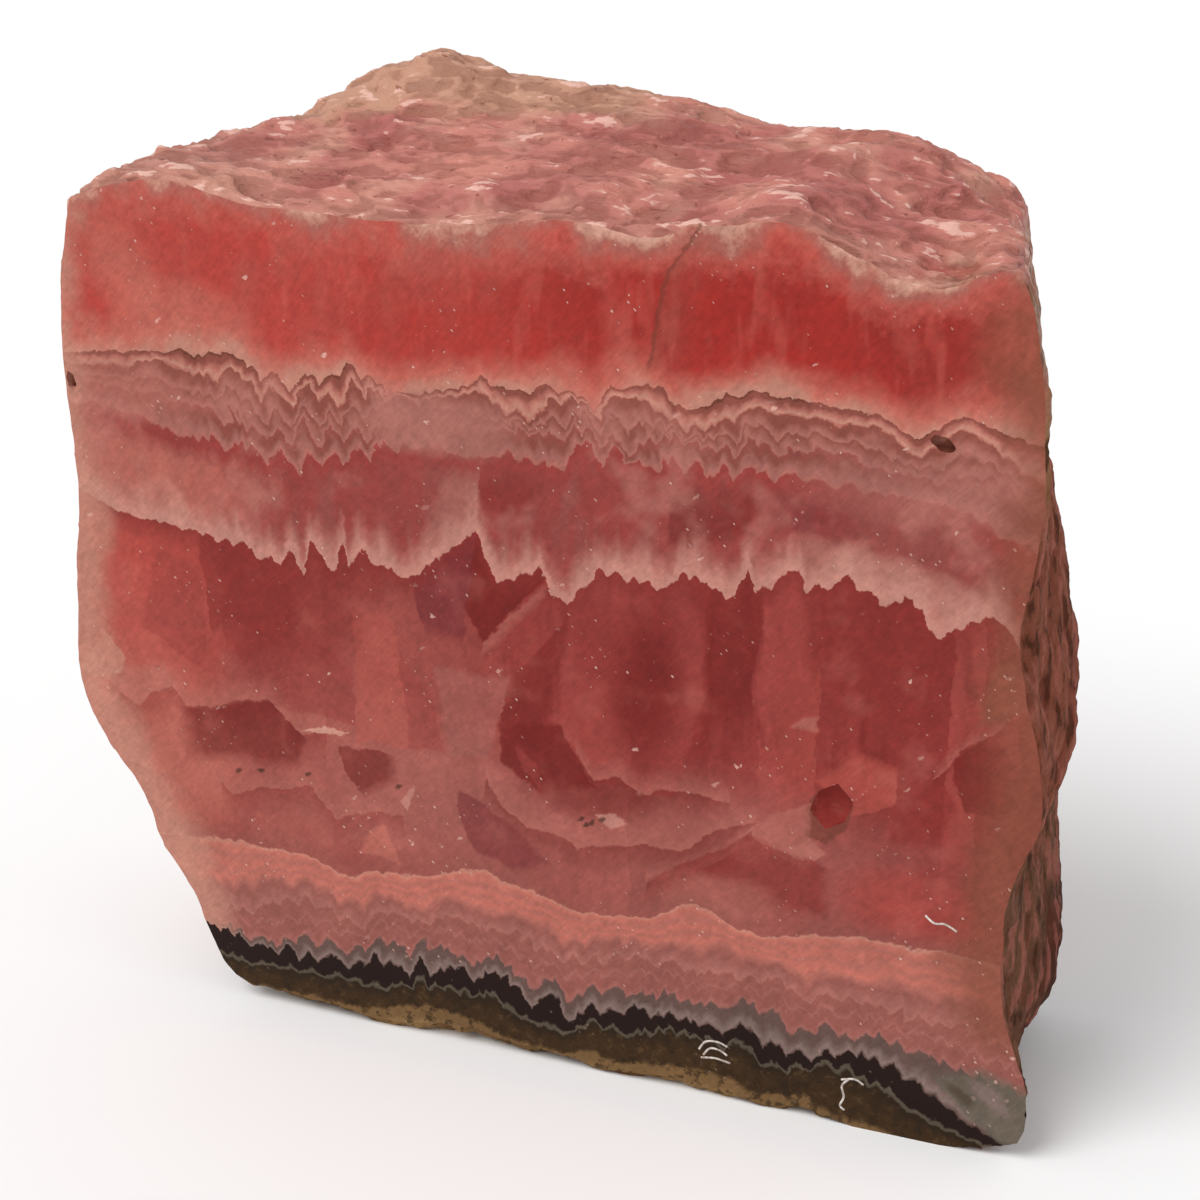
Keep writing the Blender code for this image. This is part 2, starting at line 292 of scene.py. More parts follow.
class Tone(Enum):
    """The stone's colours, as they show in soft light."""

    DEEP_RED = tint(154, 48, 43)
    RED = tint(168, 66, 59)
    SALMON = tint(178, 86, 76)
    PALE_SALMON = tint(186, 108, 94)
    PEACH = tint(188, 132, 115)
    CREAM = tint(208, 156, 138)
    BROWN_LINE = tint(112, 62, 51)
    ROSE_BROWN = tint(136, 76, 66)
    MAUVE = tint(142, 74, 69)
    GREY_MAUVE = tint(158, 100, 92)
    HAZE = tint(166, 106, 96)
    DUSKY_PEACH = tint(170, 103, 92)
    PALE_FRONT = tint(194, 138, 124)
    ROSE = tint(146, 64, 60)
    DEEP_ROSE = tint(130, 50, 47)
    MAROON = tint(112, 38, 36)
    DARK_MAUVE = tint(116, 50, 52)
    FOOT_MAUVE = tint(146, 88, 80)
    GREY_TOOTH = tint(100, 78, 72)
    PALE_GREY = tint(130, 109, 103)
    QUARTZ = tint(102, 93, 81)
    TOP_ROSE = tint(200, 131, 117)
    TOP_MAUVE = tint(176, 104, 98)
    TOP_PALE = tint(216, 162, 142)
    BLACK = tint(40, 29, 17)
    DARK_BROWN = tint(64, 47, 32)
    DEEP_BROWN = tint(48, 37, 26)
    LINE_GREY = tint(86, 76, 64)
    TAN = tint(118, 90, 60)
    PALE_TAN = tint(146, 116, 80)
    TAN_ROSE = tint(134, 78, 62)
    HUMP = tint(193, 144, 121)
    SIDE = tint(134, 80, 64)
    GREY_BROWN = tint(102, 75, 58)
    # Painted glint and highlight colour, for flakes that would catch the light.
    FLAKE_GLINT = tint(236, 190, 176)
    LINT = tint(222, 212, 204)
    LINT_SHADE = tint(176, 160, 150)

    def faded(self, alpha: float) -> tuple[float, float, float, float]:
        """Gives the colour with an alpha."""
        return (*self.value[:3], alpha)


@dataclass(frozen=True)
class Zone:
    """A part of the surface with a finish of its own, from low to high in (x, z).

    The reach is how far outside it a drawn shape may lie and still show in it.
    """

    name: str
    cut: bool
    low: tuple[float, float] = (-60.0, -10.0)
    high: tuple[float, float] = (60.0, 100.0)
    reach: float = 2.0

    def holds(self, low: tuple[float, float], high: tuple[float, float]) -> bool:
        """Tells whether a box from low to high shows in the zone."""
        return all(
            least - self.reach < zone_high and most + self.reach > zone_low
            for least, most, zone_low, zone_high in zip(low, high, self.low, self.high)
        )


ROWS = (-10.0, 21.5, 36.0, 55.5, 66.5, 100.0)
COLUMNS = (-60.0, -14.0, 14.0, 60.0)
RIM_TOP_FOOT = 64.0
FRONT = tuple(
    Zone(f"cut front {row} {column}", True, (left, foot), (right, top))
    for row, (foot, top) in enumerate(pairwise(ROWS))
    for column, (left, right) in enumerate(pairwise(COLUMNS))
)
BACK = Zone("cut back", True)
RIM_TOP = Zone("broken top", False, low=(-60.0, RIM_TOP_FOOT))
RIM_LOW = Zone("broken side", False)
ZONES = (*FRONT, BACK, RIM_TOP, RIM_LOW)

Places = tuple[tuple[float, float], ...]


@dataclass(frozen=True)
class Cloud:
    """A soft round patch of colour, with half sizes in millimetres and a turn in degrees, anticlockwise."""

    x: float
    z: float
    half_width: float
    half_height: float
    tone: Tone
    strength: float
    soft: float = 0.9
    turn: float = 0.0

    def box(self) -> tuple[tuple[float, float], tuple[float, float]]:
        """Gives the lowest and highest (x, z) that it reaches."""
        far = (1.0 + 0.6 * self.soft) * max(self.half_width, self.half_height)
        return (self.x - far, self.z - far), (self.x + far, self.z + far)

    def lay(self, w: Wiring, point: Socket, under: Socket) -> Socket:
        """Lays the patch over a colour.

        Args:
            w: the tree that it goes in.
            point: the place on the stone, in millimetres, with 1 for its depth.
            under: the colour that it covers.

        Returns:
            The colour with the patch on it.
        """
        cosine, sine = math.cos(math.radians(self.turn)), math.sin(math.radians(self.turn))
        along = (cosine / self.half_width, sine / self.half_width)
        across = (-sine / self.half_height, cosine / self.half_height)
        squares: Number = 0.0
        for way_x, way_z in (along, across):
            offset = -way_x * self.x - way_z * self.z
            place = w.vector("DOT_PRODUCT", point, (way_x, offset, way_z))
            squares = w.math("MULTIPLY_ADD", place, place, squares)
        inner, outer = (1.0 - self.soft) ** 2, (1.0 + 0.6 * self.soft) ** 2
        return w.mix(w.reach(squares, inner, outer, self.strength, 0.0), under, self.tone.value)


@dataclass(frozen=True)
class Facet:
    """A crystal cut through: a convex outline, anticlockwise, whose colour fades in from each side.

    The soft lengths, in millimetres, belong to the sides in the order of the corners that they start at.
    """

    corners: Places
    tone: Tone
    strength: float
    soft: tuple[float, ...] = (0.25,)

    def box(self) -> tuple[tuple[float, float], tuple[float, float]]:
        """Gives the lowest and highest (x, z) that it reaches."""
        return tuple(map(min, zip(*self.corners))), tuple(map(max, zip(*self.corners)))

    def lay(self, w: Wiring, point: Socket, under: Socket) -> Socket:
        """Lays the crystal over a colour.

        Args:
            w: the tree that it goes in.
            point: the place on the stone, in millimetres, with 1 for its depth.
            under: the colour that it covers.

        Returns:
            The colour with the crystal on it.
        """
        share: Number = self.strength
        for index, (x, z) in enumerate(self.corners):
            next_x, next_z = self.corners[(index + 1) % len(self.corners)]
            fade = self.soft[index % len(self.soft)] * math.hypot(next_x - x, next_z - z)
            inward = ((z - next_z) / fade, (next_x - x) / fade)
            offset = 0.5 - inward[0] * x - inward[1] * z
            share = w.math("MINIMUM", w.vector("DOT_PRODUCT", point, (inward[0], offset, inward[1])), share)
        return w.mix(share, under, self.tone.value)


@dataclass(frozen=True)
class Seam:
    """Where one crystal meets the next: a thin pale line, with a glow over it and a shade under it."""

    line: Places
    glow: Tone = Tone.DUSKY_PEACH
    over: float = 1.6
    shade: Tone = Tone.MAROON
    under: float = 1.6
    strength: float = 0.6
    edge: Tone = Tone.DUSKY_PEACH

    def box(self) -> tuple[tuple[float, float], tuple[float, float]]:
        """Gives the lowest and highest (x, z) that it reaches."""
        xs, zs = zip(*self.line)
        return (min(xs), min(zs) - self.under), (max(xs), max(zs) + self.over)

    def lay(self, w: Wiring, point: Socket, under: Socket) -> Socket:
        """Lays the seam over a colour.

        Args:
            w: the tree that it goes in.
            point: the place on the stone, in millimetres, with 1 for its depth.
            under: the colour that it covers.

        Returns:
            The colour with the seam on it.
        """
        far_below = -60.0
        ends = ((self.line[0][0] - 0.5, far_below), (self.line[-1][0] + 0.5, far_below))
        x, _, z = w.split(point)
        ramp = w.ramp(
            w.level(x, z, (ends[0], *self.line, ends[1])),
            (
                (-self.under, self.shade.faded(0.0)),
                (-0.25, self.shade.faded(self.strength)),
                (-0.1, self.edge.faded(self.strength)),
                (0.1, self.edge.faded(self.strength)),
                (0.2, self.glow.faded(0.8 * self.strength)),
                (self.over, self.glow.faded(0.0)),
            ),
        )
        return w.mix(ramp.outputs["Alpha"], under, ramp.outputs["Color"])


Patches = tuple[Cloud | Facet | Seam, ...]


@dataclass(frozen=True)
class GrowthStack:
    """Thin layers grown one on another.

    The lines are drawn from the highest to the lowest. The stops are (place, tone), where the place
    counts the lines from the top one, so that 1.5 lies half way between the second line and the third.
    The tail is how far the last tones go on under the lowest line, in millimetres.
    """

    lines: tuple[Places, ...]
    stops: tuple[tuple[float, Tone], ...]
    tail: float
    open_foot: bool = False

    def lay(
        self, w: Wiring, x: Socket, z: Socket, over: Triple, under: Triple | None, stir: Number = 0.0
    ) -> Socket:
        """Lays the layers between what is over and what is under them.

        Args:
            w: the tree that it goes in.
            x: the place along the layers, in millimetres.
            z: the height, in millimetres.
            over: the colour over the highest line.
            under: the colour under the lowest line, if the stack is open there.
            stir: how far the tones stray from the lines, counted as the stops are.

        Returns:
            The colour with the layers.
        """
        heights = [w.line(x, line) for line in self.lines]
        heights.append(w.math("SUBTRACT", heights[-1], self.tail))
        place: Number = 0.0
        for higher, lower in zip(heights, heights[1:]):
            place = w.math("ADD", w.reach(z, higher, lower, smooth=False), place)
        stops = [(at, tone.value) for at, tone in self.stops]
        if self.open_foot:
            stops[-1] = (stops[-1][0], self.stops[-1][1].faded(0.0))
        ramp = w.ramp(w.math("ADD", place, stir), stops)
        inside = ramp.outputs["Color"]
        if under is not None:
            inside = w.mix(ramp.outputs["Alpha"], under, inside)
        return w.mix(w.reach(place, 0.0, 0.03, smooth=False), over, inside)


FIRST_LINE: Places = (
    (-46, 61.5), (-40, 62.4), (-34, 62.9), (-32.5, 63.4), (-31, 62.8), (-28, 63.7), (-26, 62.6), (-23, 61.7),
    (-20, 62.1), (-18, 62.4), (-16.5, 63.7), (-12.5, 61.5), (-9, 62.0), (-5.3, 63.0), (-4.4, 64.0), (-3.3, 63.2),
    (0, 63.1), (1, 63.8), (3.7, 63.4), (5.4, 62.5), (6.7, 64.2), (11, 64.8), (12.3, 63.3), (14.7, 63.3),
    (16.5, 64.6), (19, 65.2), (29, 64.4), (31.8, 62.7), (35.5, 65.1), (38.3, 64.1), (45, 62.5),
)
SECOND_LINE: Places = (
    (-46, 60.7), (-38, 61.3), (-33.5, 62.2), (-29.3, 60.8), (-27.7, 62.0), (-24.5, 60.0), (-22.8, 59.9),
    (-20, 61.2), (-18.4, 60.4), (-16.7, 60.6), (-16.2, 62.1), (-13.4, 61.0), (-9.2, 61.4), (-4.4, 62.5),
    (-2.4, 60.8), (1, 61.2), (1.7, 62.8), (3.7, 62.8), (6.1, 61.8), (7.6, 63.6), (9.8, 63.1), (10.8, 62.3),
    (12.3, 61.5), (14.7, 61.3), (16.4, 62.4), (19, 63.7), (24.5, 63.4), (29, 63.2), (32, 61.3), (35.5, 63.7),
    (38, 62.6), (40, 60.6), (45, 59.0),
)
THIRD_LINE: Places = (
    (-46, 59.5), (-34.5, 59.0), (-31.5, 58.4), (-27.6, 57.6), (-25.7, 56.3), (-24.4, 57.4), (-22.5, 56.2),
    (-20.9, 58.3), (-19.9, 56.0), (-18.3, 57.8), (-14.7, 57.8), (-9, 59.8), (-3.1, 59.4), (-0.4, 59.9),
    (1.1, 59.2), (3.2, 60.4), (6.5, 59.5), (8.9, 59.1), (10.6, 60.2), (13.2, 60.5), (14.9, 59.6), (18.5, 60.9),
    (26, 61.0), (34, 59.4), (38, 60.2), (45, 55.5),
)
MAUVE_LINE: Places = (
    (-46, 57.5), (-34, 56.2), (-27, 55.0), (-24, 54.6), (-20, 54.8), (-14, 56.6), (-9, 57.4), (-3.8, 57.1),
    (-1.8, 58.0), (-0.9, 57.3), (0.3, 57.8), (1.8, 56.7), (4.5, 59.2), (6.3, 58.0), (7.2, 59.0), (10.2, 57.5),
    (11.7, 58.2), (13.3, 57.6), (14.3, 58.5), (15.4, 57.2), (16.4, 58.6), (19.4, 58.6), (27, 58.4), (36, 57.0),
    (45, 53.0),
)
ROSE_LINE: Places = (
    (-46, 50.0), (-43, 49.0), (-39.5, 47.6), (-32.3, 46.8), (-29.3, 46.2), (-27.8, 46.6), (-25.4, 44.7),
    (-24.6, 46.0), (-23.6, 45.0), (-22.6, 46.3), (-21.5, 44.7), (-20.8, 47.3), (-18.4, 44.9), (-17.6, 48.0),
    (-17.2, 46.0), (-15.4, 47.4), (-14.5, 46.1), (-11.4, 45.2), (-5.1, 50.4), (-3.5, 46.1), (-2.6, 46.2),
    (0.7, 48.0), (1.8, 45.2), (4.1, 46.0), (6.1, 48.6), (9.5, 47.8), (11.7, 47.5), (13.4, 49.3), (16.9, 47.6),
    (18.8, 50.4), (19.2, 48.2), (23, 51.0), (23.7, 49.1), (26.7, 50.8), (30.1, 48.8), (32.2, 49.7), (34.5, 46.6),
    (38.8, 49.4), (40.8, 47.0), (45, 46.0),
)
PEACH_LINE: Places = (
    (-46, 16.5), (-33.5, 16.1), (-26, 16.9), (-23, 16.9), (-20, 16.0), (-18, 15.6), (-14, 16.6), (-10.6, 17.0),
    (-7.3, 18.2), (-4.6, 17.9), (-0.5, 17.3), (3.4, 15.8), (6, 16.2), (10.2, 16.8), (13.6, 18.4), (15.8, 18.5),
    (21.8, 17.0), (24.8, 17.8), (32.2, 18.5), (45, 18.2),
)
PINK_LINE: Places = (
    (-46, 9.5), (-30, 9.5), (-22, 12.3), (-19.5, 11.0), (-17.3, 10.3), (-14.6, 12.5), (-11.3, 11.9),
    (-8.5, 13.4), (-6.3, 13.0), (-1.4, 12.2), (2.2, 11.4), (3.7, 12.0), (4.5, 10.8), (5.7, 11.9), (9.1, 12.7),
    (11.7, 12.0), (12.5, 13.1), (15.1, 11.9), (17, 14.0), (19, 12.5), (22.5, 13.4), (24.7, 12.1), (26, 13.0),
    (31.9, 12.4), (38.5, 12.1), (45, 10.0),
)
GREY_LINE: Places = (
    (-46, 7.8), (-33.2, 7.8), (-30, 7.2), (-26.2, 6.2), (-24.6, 7.7), (-21.1, 8.0), (-18.9, 7.3), (-16.5, 8.6),
    (-14.8, 9.4), (-12.5, 8.4), (-11.4, 9.8), (-8.6, 9.4), (-6.1, 8.5), (-3.9, 9.8), (-0.9, 7.6), (1.8, 8.5),
    (3.3, 6.9), (5.6, 8.9), (11.4, 8.9), (12, 9.6), (15.1, 8.9), (18.2, 10.2), (22.1, 9.7), (24, 8.2),
    (26.4, 9.7), (28.6, 8.8), (31.3, 9.5), (36, 8.3), (45, 6.3),
)
BLACK_LINE: Places = (
    (-46, 7.1), (-33.3, 7.1), (-29.4, 6.5), (-26.2, 5.4), (-24.7, 7.0), (-24.1, 5.8), (-21.8, 6.4), (-18.3, 5.9),
    (-16.3, 7.4), (-12.6, 6.3), (-11.3, 8.4), (-10.6, 6.7), (-7.5, 8.0), (-5.9, 6.8), (-5, 8.0), (-3.1, 8.0),
    (-0.7, 5.6), (0.4, 6.7), (1.8, 6.9), (3.2, 4.8), (5.4, 7.0), (6.8, 6.3), (9.1, 7.5), (11.2, 7.0),
    (12.9, 7.6), (15.1, 6.9), (19.6, 7.8), (20.5, 6.8), (23.8, 6.1), (29.2, 7.4), (33, 6.7), (39.6, 2.6),
    (45, 0.7),
)
BROWN_LINE: Places = (
    (-46, 4.3), (-31.9, 4.2), (-29, 3.9), (-24.8, 4.2), (-19, 4.4), (-15.5, 4.0), (-12.3, 5.2), (-11.2, 6.2),
    (-10.6, 5.4), (-5.9, 5.4), (-4.5, 5.9), (-2.1, 4.2), (2.3, 3.4), (3.4, 3.8), (5.5, 5.2), (8.9, 4.6),
    (12.9, 6.2), (15.2, 5.6), (19.6, 6.0), (20.8, 4.5), (23.3, 4.3), (25.7, 5.7), (28.7, 5.8), (30.4, 4.7),
    (32, 4.6), (34, 3.0), (37.2, 1.8), (45, 0.0),
)
TAN_LINE: Places = (
    (-46, 2.0), (-31, 1.6), (-23.2, 1.7), (-16.8, 1.5), (-14.4, 2.4), (-10.4, 3.3), (-6, 2.6), (-3.2, 1.5),
    (2, 1.2), (5.5, 2.0), (7.4, 1.4), (13.2, 2.3), (18.3, 2.2), (20, 1.1), (25, 2.1), (27.3, 0.7), (31.7, 0.3),
    (34.1, -0.5), (45, -1.0),
)
TOP_EDGE: Places = (
    (-46, 74.5), (-42.6, 75.7), (-40.8, 77.0), (-37, 77.9), (-32.5, 78.1), (-24, 76.7), (-11, 76.5), (2.5, 77.9),
    (9.5, 77.2), (14, 78.1), (20.5, 79.2), (24.5, 78.2), (31.5, 75.4), (37.4, 77.0), (45, 76.0),
)
CRACK: Places = ((64, 9.6), (67.3, 10.4), (69.8, 10.7), (73.5, 11.4), (74.8, 12.2), (76.1, 13.2), (79, 14.8))
LEFT_EDGE: Places = (
    (0, -31.0), (6, -32.5), (16, -36.5), (27, -43.0), (34, -45.0), (48, -43.8), (60, -45.2), (72, -45.2), (78, -44.0),
)
RIGHT_EDGE: Places = (
    (0, 40.0), (8, 43.0), (18, 40.8), (26, 41.6), (34, 42.8), (44, 42.6), (56, 42.6), (66, 43.2), (78, 42.4),
)
ZIGZAG_TEETH: Places = (
    (-46, 0.1), (-36, 0.4), (-30, 0.9), (-27, 1.5), (-14, 1.5), (-10, 0.6), (-4, 0.5), (0, 1.1), (4, 1.4),
    (19, 1.4), (23, 0.6), (45, 0.5),
)
HEM_TEETH: Places = (
    (-46, 0.0), (-35, 0.2), (-31, 0.8), (-27, 1.0), (-16, 1.0), (-12, 0.5), (-3, 0.5), (1, 0.9), (24, 0.9),
    (45, 0.5),
)

ZIGZAG = GrowthStack(
    lines=(FIRST_LINE, SECOND_LINE, THIRD_LINE, MAUVE_LINE),
    stops=(
        (0.0, Tone.BROWN_LINE), (0.1, Tone.ROSE_BROWN), (0.28, Tone.ROSE_BROWN), (0.5, Tone.DUSKY_PEACH),
        (0.8, Tone.PEACH), (0.95, Tone.DUSKY_PEACH), (1.0, Tone.ROSE_BROWN), (1.2, Tone.ROSE_BROWN),
        (1.5, Tone.HAZE), (1.58, Tone.ROSE_BROWN), (1.95, Tone.HAZE), (2.03, Tone.MAUVE),
        (2.3, Tone.ROSE_BROWN), (2.7, Tone.GREY_MAUVE), (2.92, Tone.DUSKY_PEACH), (3.0, Tone.ROSE),
        (3.3, Tone.ROSE), (4.0, Tone.MAUVE),
    ),
    tail=2.8,
    open_foot=True,
)
FOOT = GrowthStack(
    lines=(PEACH_LINE, PINK_LINE, GREY_LINE, BLACK_LINE, BROWN_LINE, TAN_LINE),
    stops=(
        (0.0, Tone.PEACH), (0.1, Tone.PALE_SALMON), (0.2, Tone.DUSKY_PEACH), (0.32, Tone.PALE_SALMON),
        (0.4, Tone.DUSKY_PEACH), (0.5, Tone.PALE_SALMON), (0.58, Tone.DUSKY_PEACH), (0.74, Tone.FOOT_MAUVE),
        (0.94, Tone.GREY_MAUVE), (1.0, Tone.HAZE), (1.06, Tone.FOOT_MAUVE), (1.36, Tone.FOOT_MAUVE),
        (1.46, Tone.GREY_MAUVE), (1.52, Tone.FOOT_MAUVE), (1.8, Tone.FOOT_MAUVE), (1.94, Tone.GREY_MAUVE),
        (2.02, Tone.GREY_TOOTH),
        (2.4, Tone.GREY_TOOTH), (2.86, Tone.PALE_GREY), (2.97, Tone.GREY_TOOTH), (3.04, Tone.BLACK),
        (3.86, Tone.BLACK), (3.94, Tone.LINE_GREY), (4.03, Tone.LINE_GREY), (4.1, Tone.DEEP_BROWN),
        (4.5, Tone.DARK_BROWN), (4.9, Tone.DARK_BROWN), (5.05, Tone.TAN), (5.5, Tone.TAN), (6.0, Tone.PALE_TAN),
    ),
    tail=2.0,
)

RED_PATCHES: Patches = (
    Cloud(14, 70.5, 13, 5.4, Tone.DEEP_RED, 0.95),
    Cloud(3.5, 69.8, 6.5, 4.6, Tone.DEEP_RED, 0.55),
    Cloud(-10, 68.0, 8.5, 4.2, Tone.DEEP_RED, 0.5),
    Cloud(-31, 72, 4.0, 3.6, Tone.RED, 0.7, 0.9, 30),
    Cloud(-31, 66.6, 5, 2.4, Tone.PALE_SALMON, 0.5, 0.9, -10),
    Cloud(-21, 69.5, 5.5, 4.2, Tone.RED, 0.6, 0.9, -20),
    Cloud(26, 70, 10, 5.0, Tone.DEEP_RED, 0.85),
    Cloud(36, 70, 7, 6, Tone.MAROON, 0.35),
    Cloud(41, 70, 4, 7, Tone.TAN_ROSE, 0.7),
    Cloud(7.6, 67.5, 1.2, 5, Tone.SALMON, 0.4, 0.9, 8),
    Cloud(-37, 68, 2.4, 6, Tone.PALE_SALMON, 0.5, 0.9, 20),
    Facet(((26.0, 74.9), (29.7, 74.2), (35.6, 75.6), (35, 78), (29, 78.6)), Tone.PEACH, 0.9, (0.5, 0.5, 0.8, 0.8, 0.8)),
)

MAUVE_PATCHES: Patches = (
    Facet(((-4.8, 52.5), (-1.6, 52), (2.7, 56.2), (1.8, 57.8), (-4.6, 57.6)), Tone.DEEP_ROSE, 0.8, (2, 1, 0.5, 0.3, 0.3)),
    Facet(((12, 51.6), (18.7, 53.6), (18.4, 58.9), (14.5, 59.4), (12.6, 58)), Tone.MAROON, 0.6, (2, 1.2, 0.4, 0.3, 0.4)),
    Facet(((3.6, 52.7), (8.3, 53.8), (9.6, 58.2), (5.4, 56.4)), Tone.ROSE, 0.7, (0.8, 0.2, 0.3, 0.8)),
    Facet(((-32.4, 58.4), (-31.8, 54), (-30.8, 53), (-30.3, 58.6)), Tone.MAROON, 0.6, (0.3, 0.5, 0.8, 0.6)),
    Facet(((-27, 56), (-26.2, 51.6), (-22.6, 51.6), (-20.5, 57.5)), Tone.DEEP_ROSE, 0.8, (1, 2, 0.9, 0.4)),
    Facet(((-9.6, 54), (-7, 54.4), (-5.4, 59), (-9.4, 58.6)), Tone.MAUVE, 0.8, (0.6, 0.5, 0.4, 0.4)),
    Facet(((-10, 49), (-6, 50.5), (-4, 57.5), (-5.5, 58)), Tone.HAZE, 0.7, (1.5, 0.2, 0.5, 1.5)),
    Facet(((-38, 49.7), (-36.9, 46.9), (-33.8, 46.2), (-32.4, 48.5), (-34.8, 51.4)), Tone.CREAM, 0.5, (0.8, 0.8, 0.8, 1.2, 1.6)),
    Cloud(-14, 53.5, 3.6, 3.2, Tone.ROSE, 0.7),
    Cloud(24, 56.5, 4, 2.6, Tone.DARK_MAUVE, 0.55),
    Cloud(34, 53.5, 7, 4.0, Tone.MAUVE, 0.7),
    Cloud(32, 50.6, 8, 1.6, Tone.PALE_FRONT, 0.6, 0.9, -14),
    Cloud(-37, 53, 11, 6, Tone.PALE_SALMON, 0.6),
)
ZIGZAG_CLOUDS: Patches = (
    Cloud(-8.5, 59.2, 6.5, 2.6, Tone.HAZE, 0.9, 0.6),
    Cloud(34, 58.4, 9, 2.4, Tone.GREY_MAUVE, 0.6),
    Cloud(-38.5, 58.9, 7, 2.2, Tone.DUSKY_PEACH, 0.7),
)

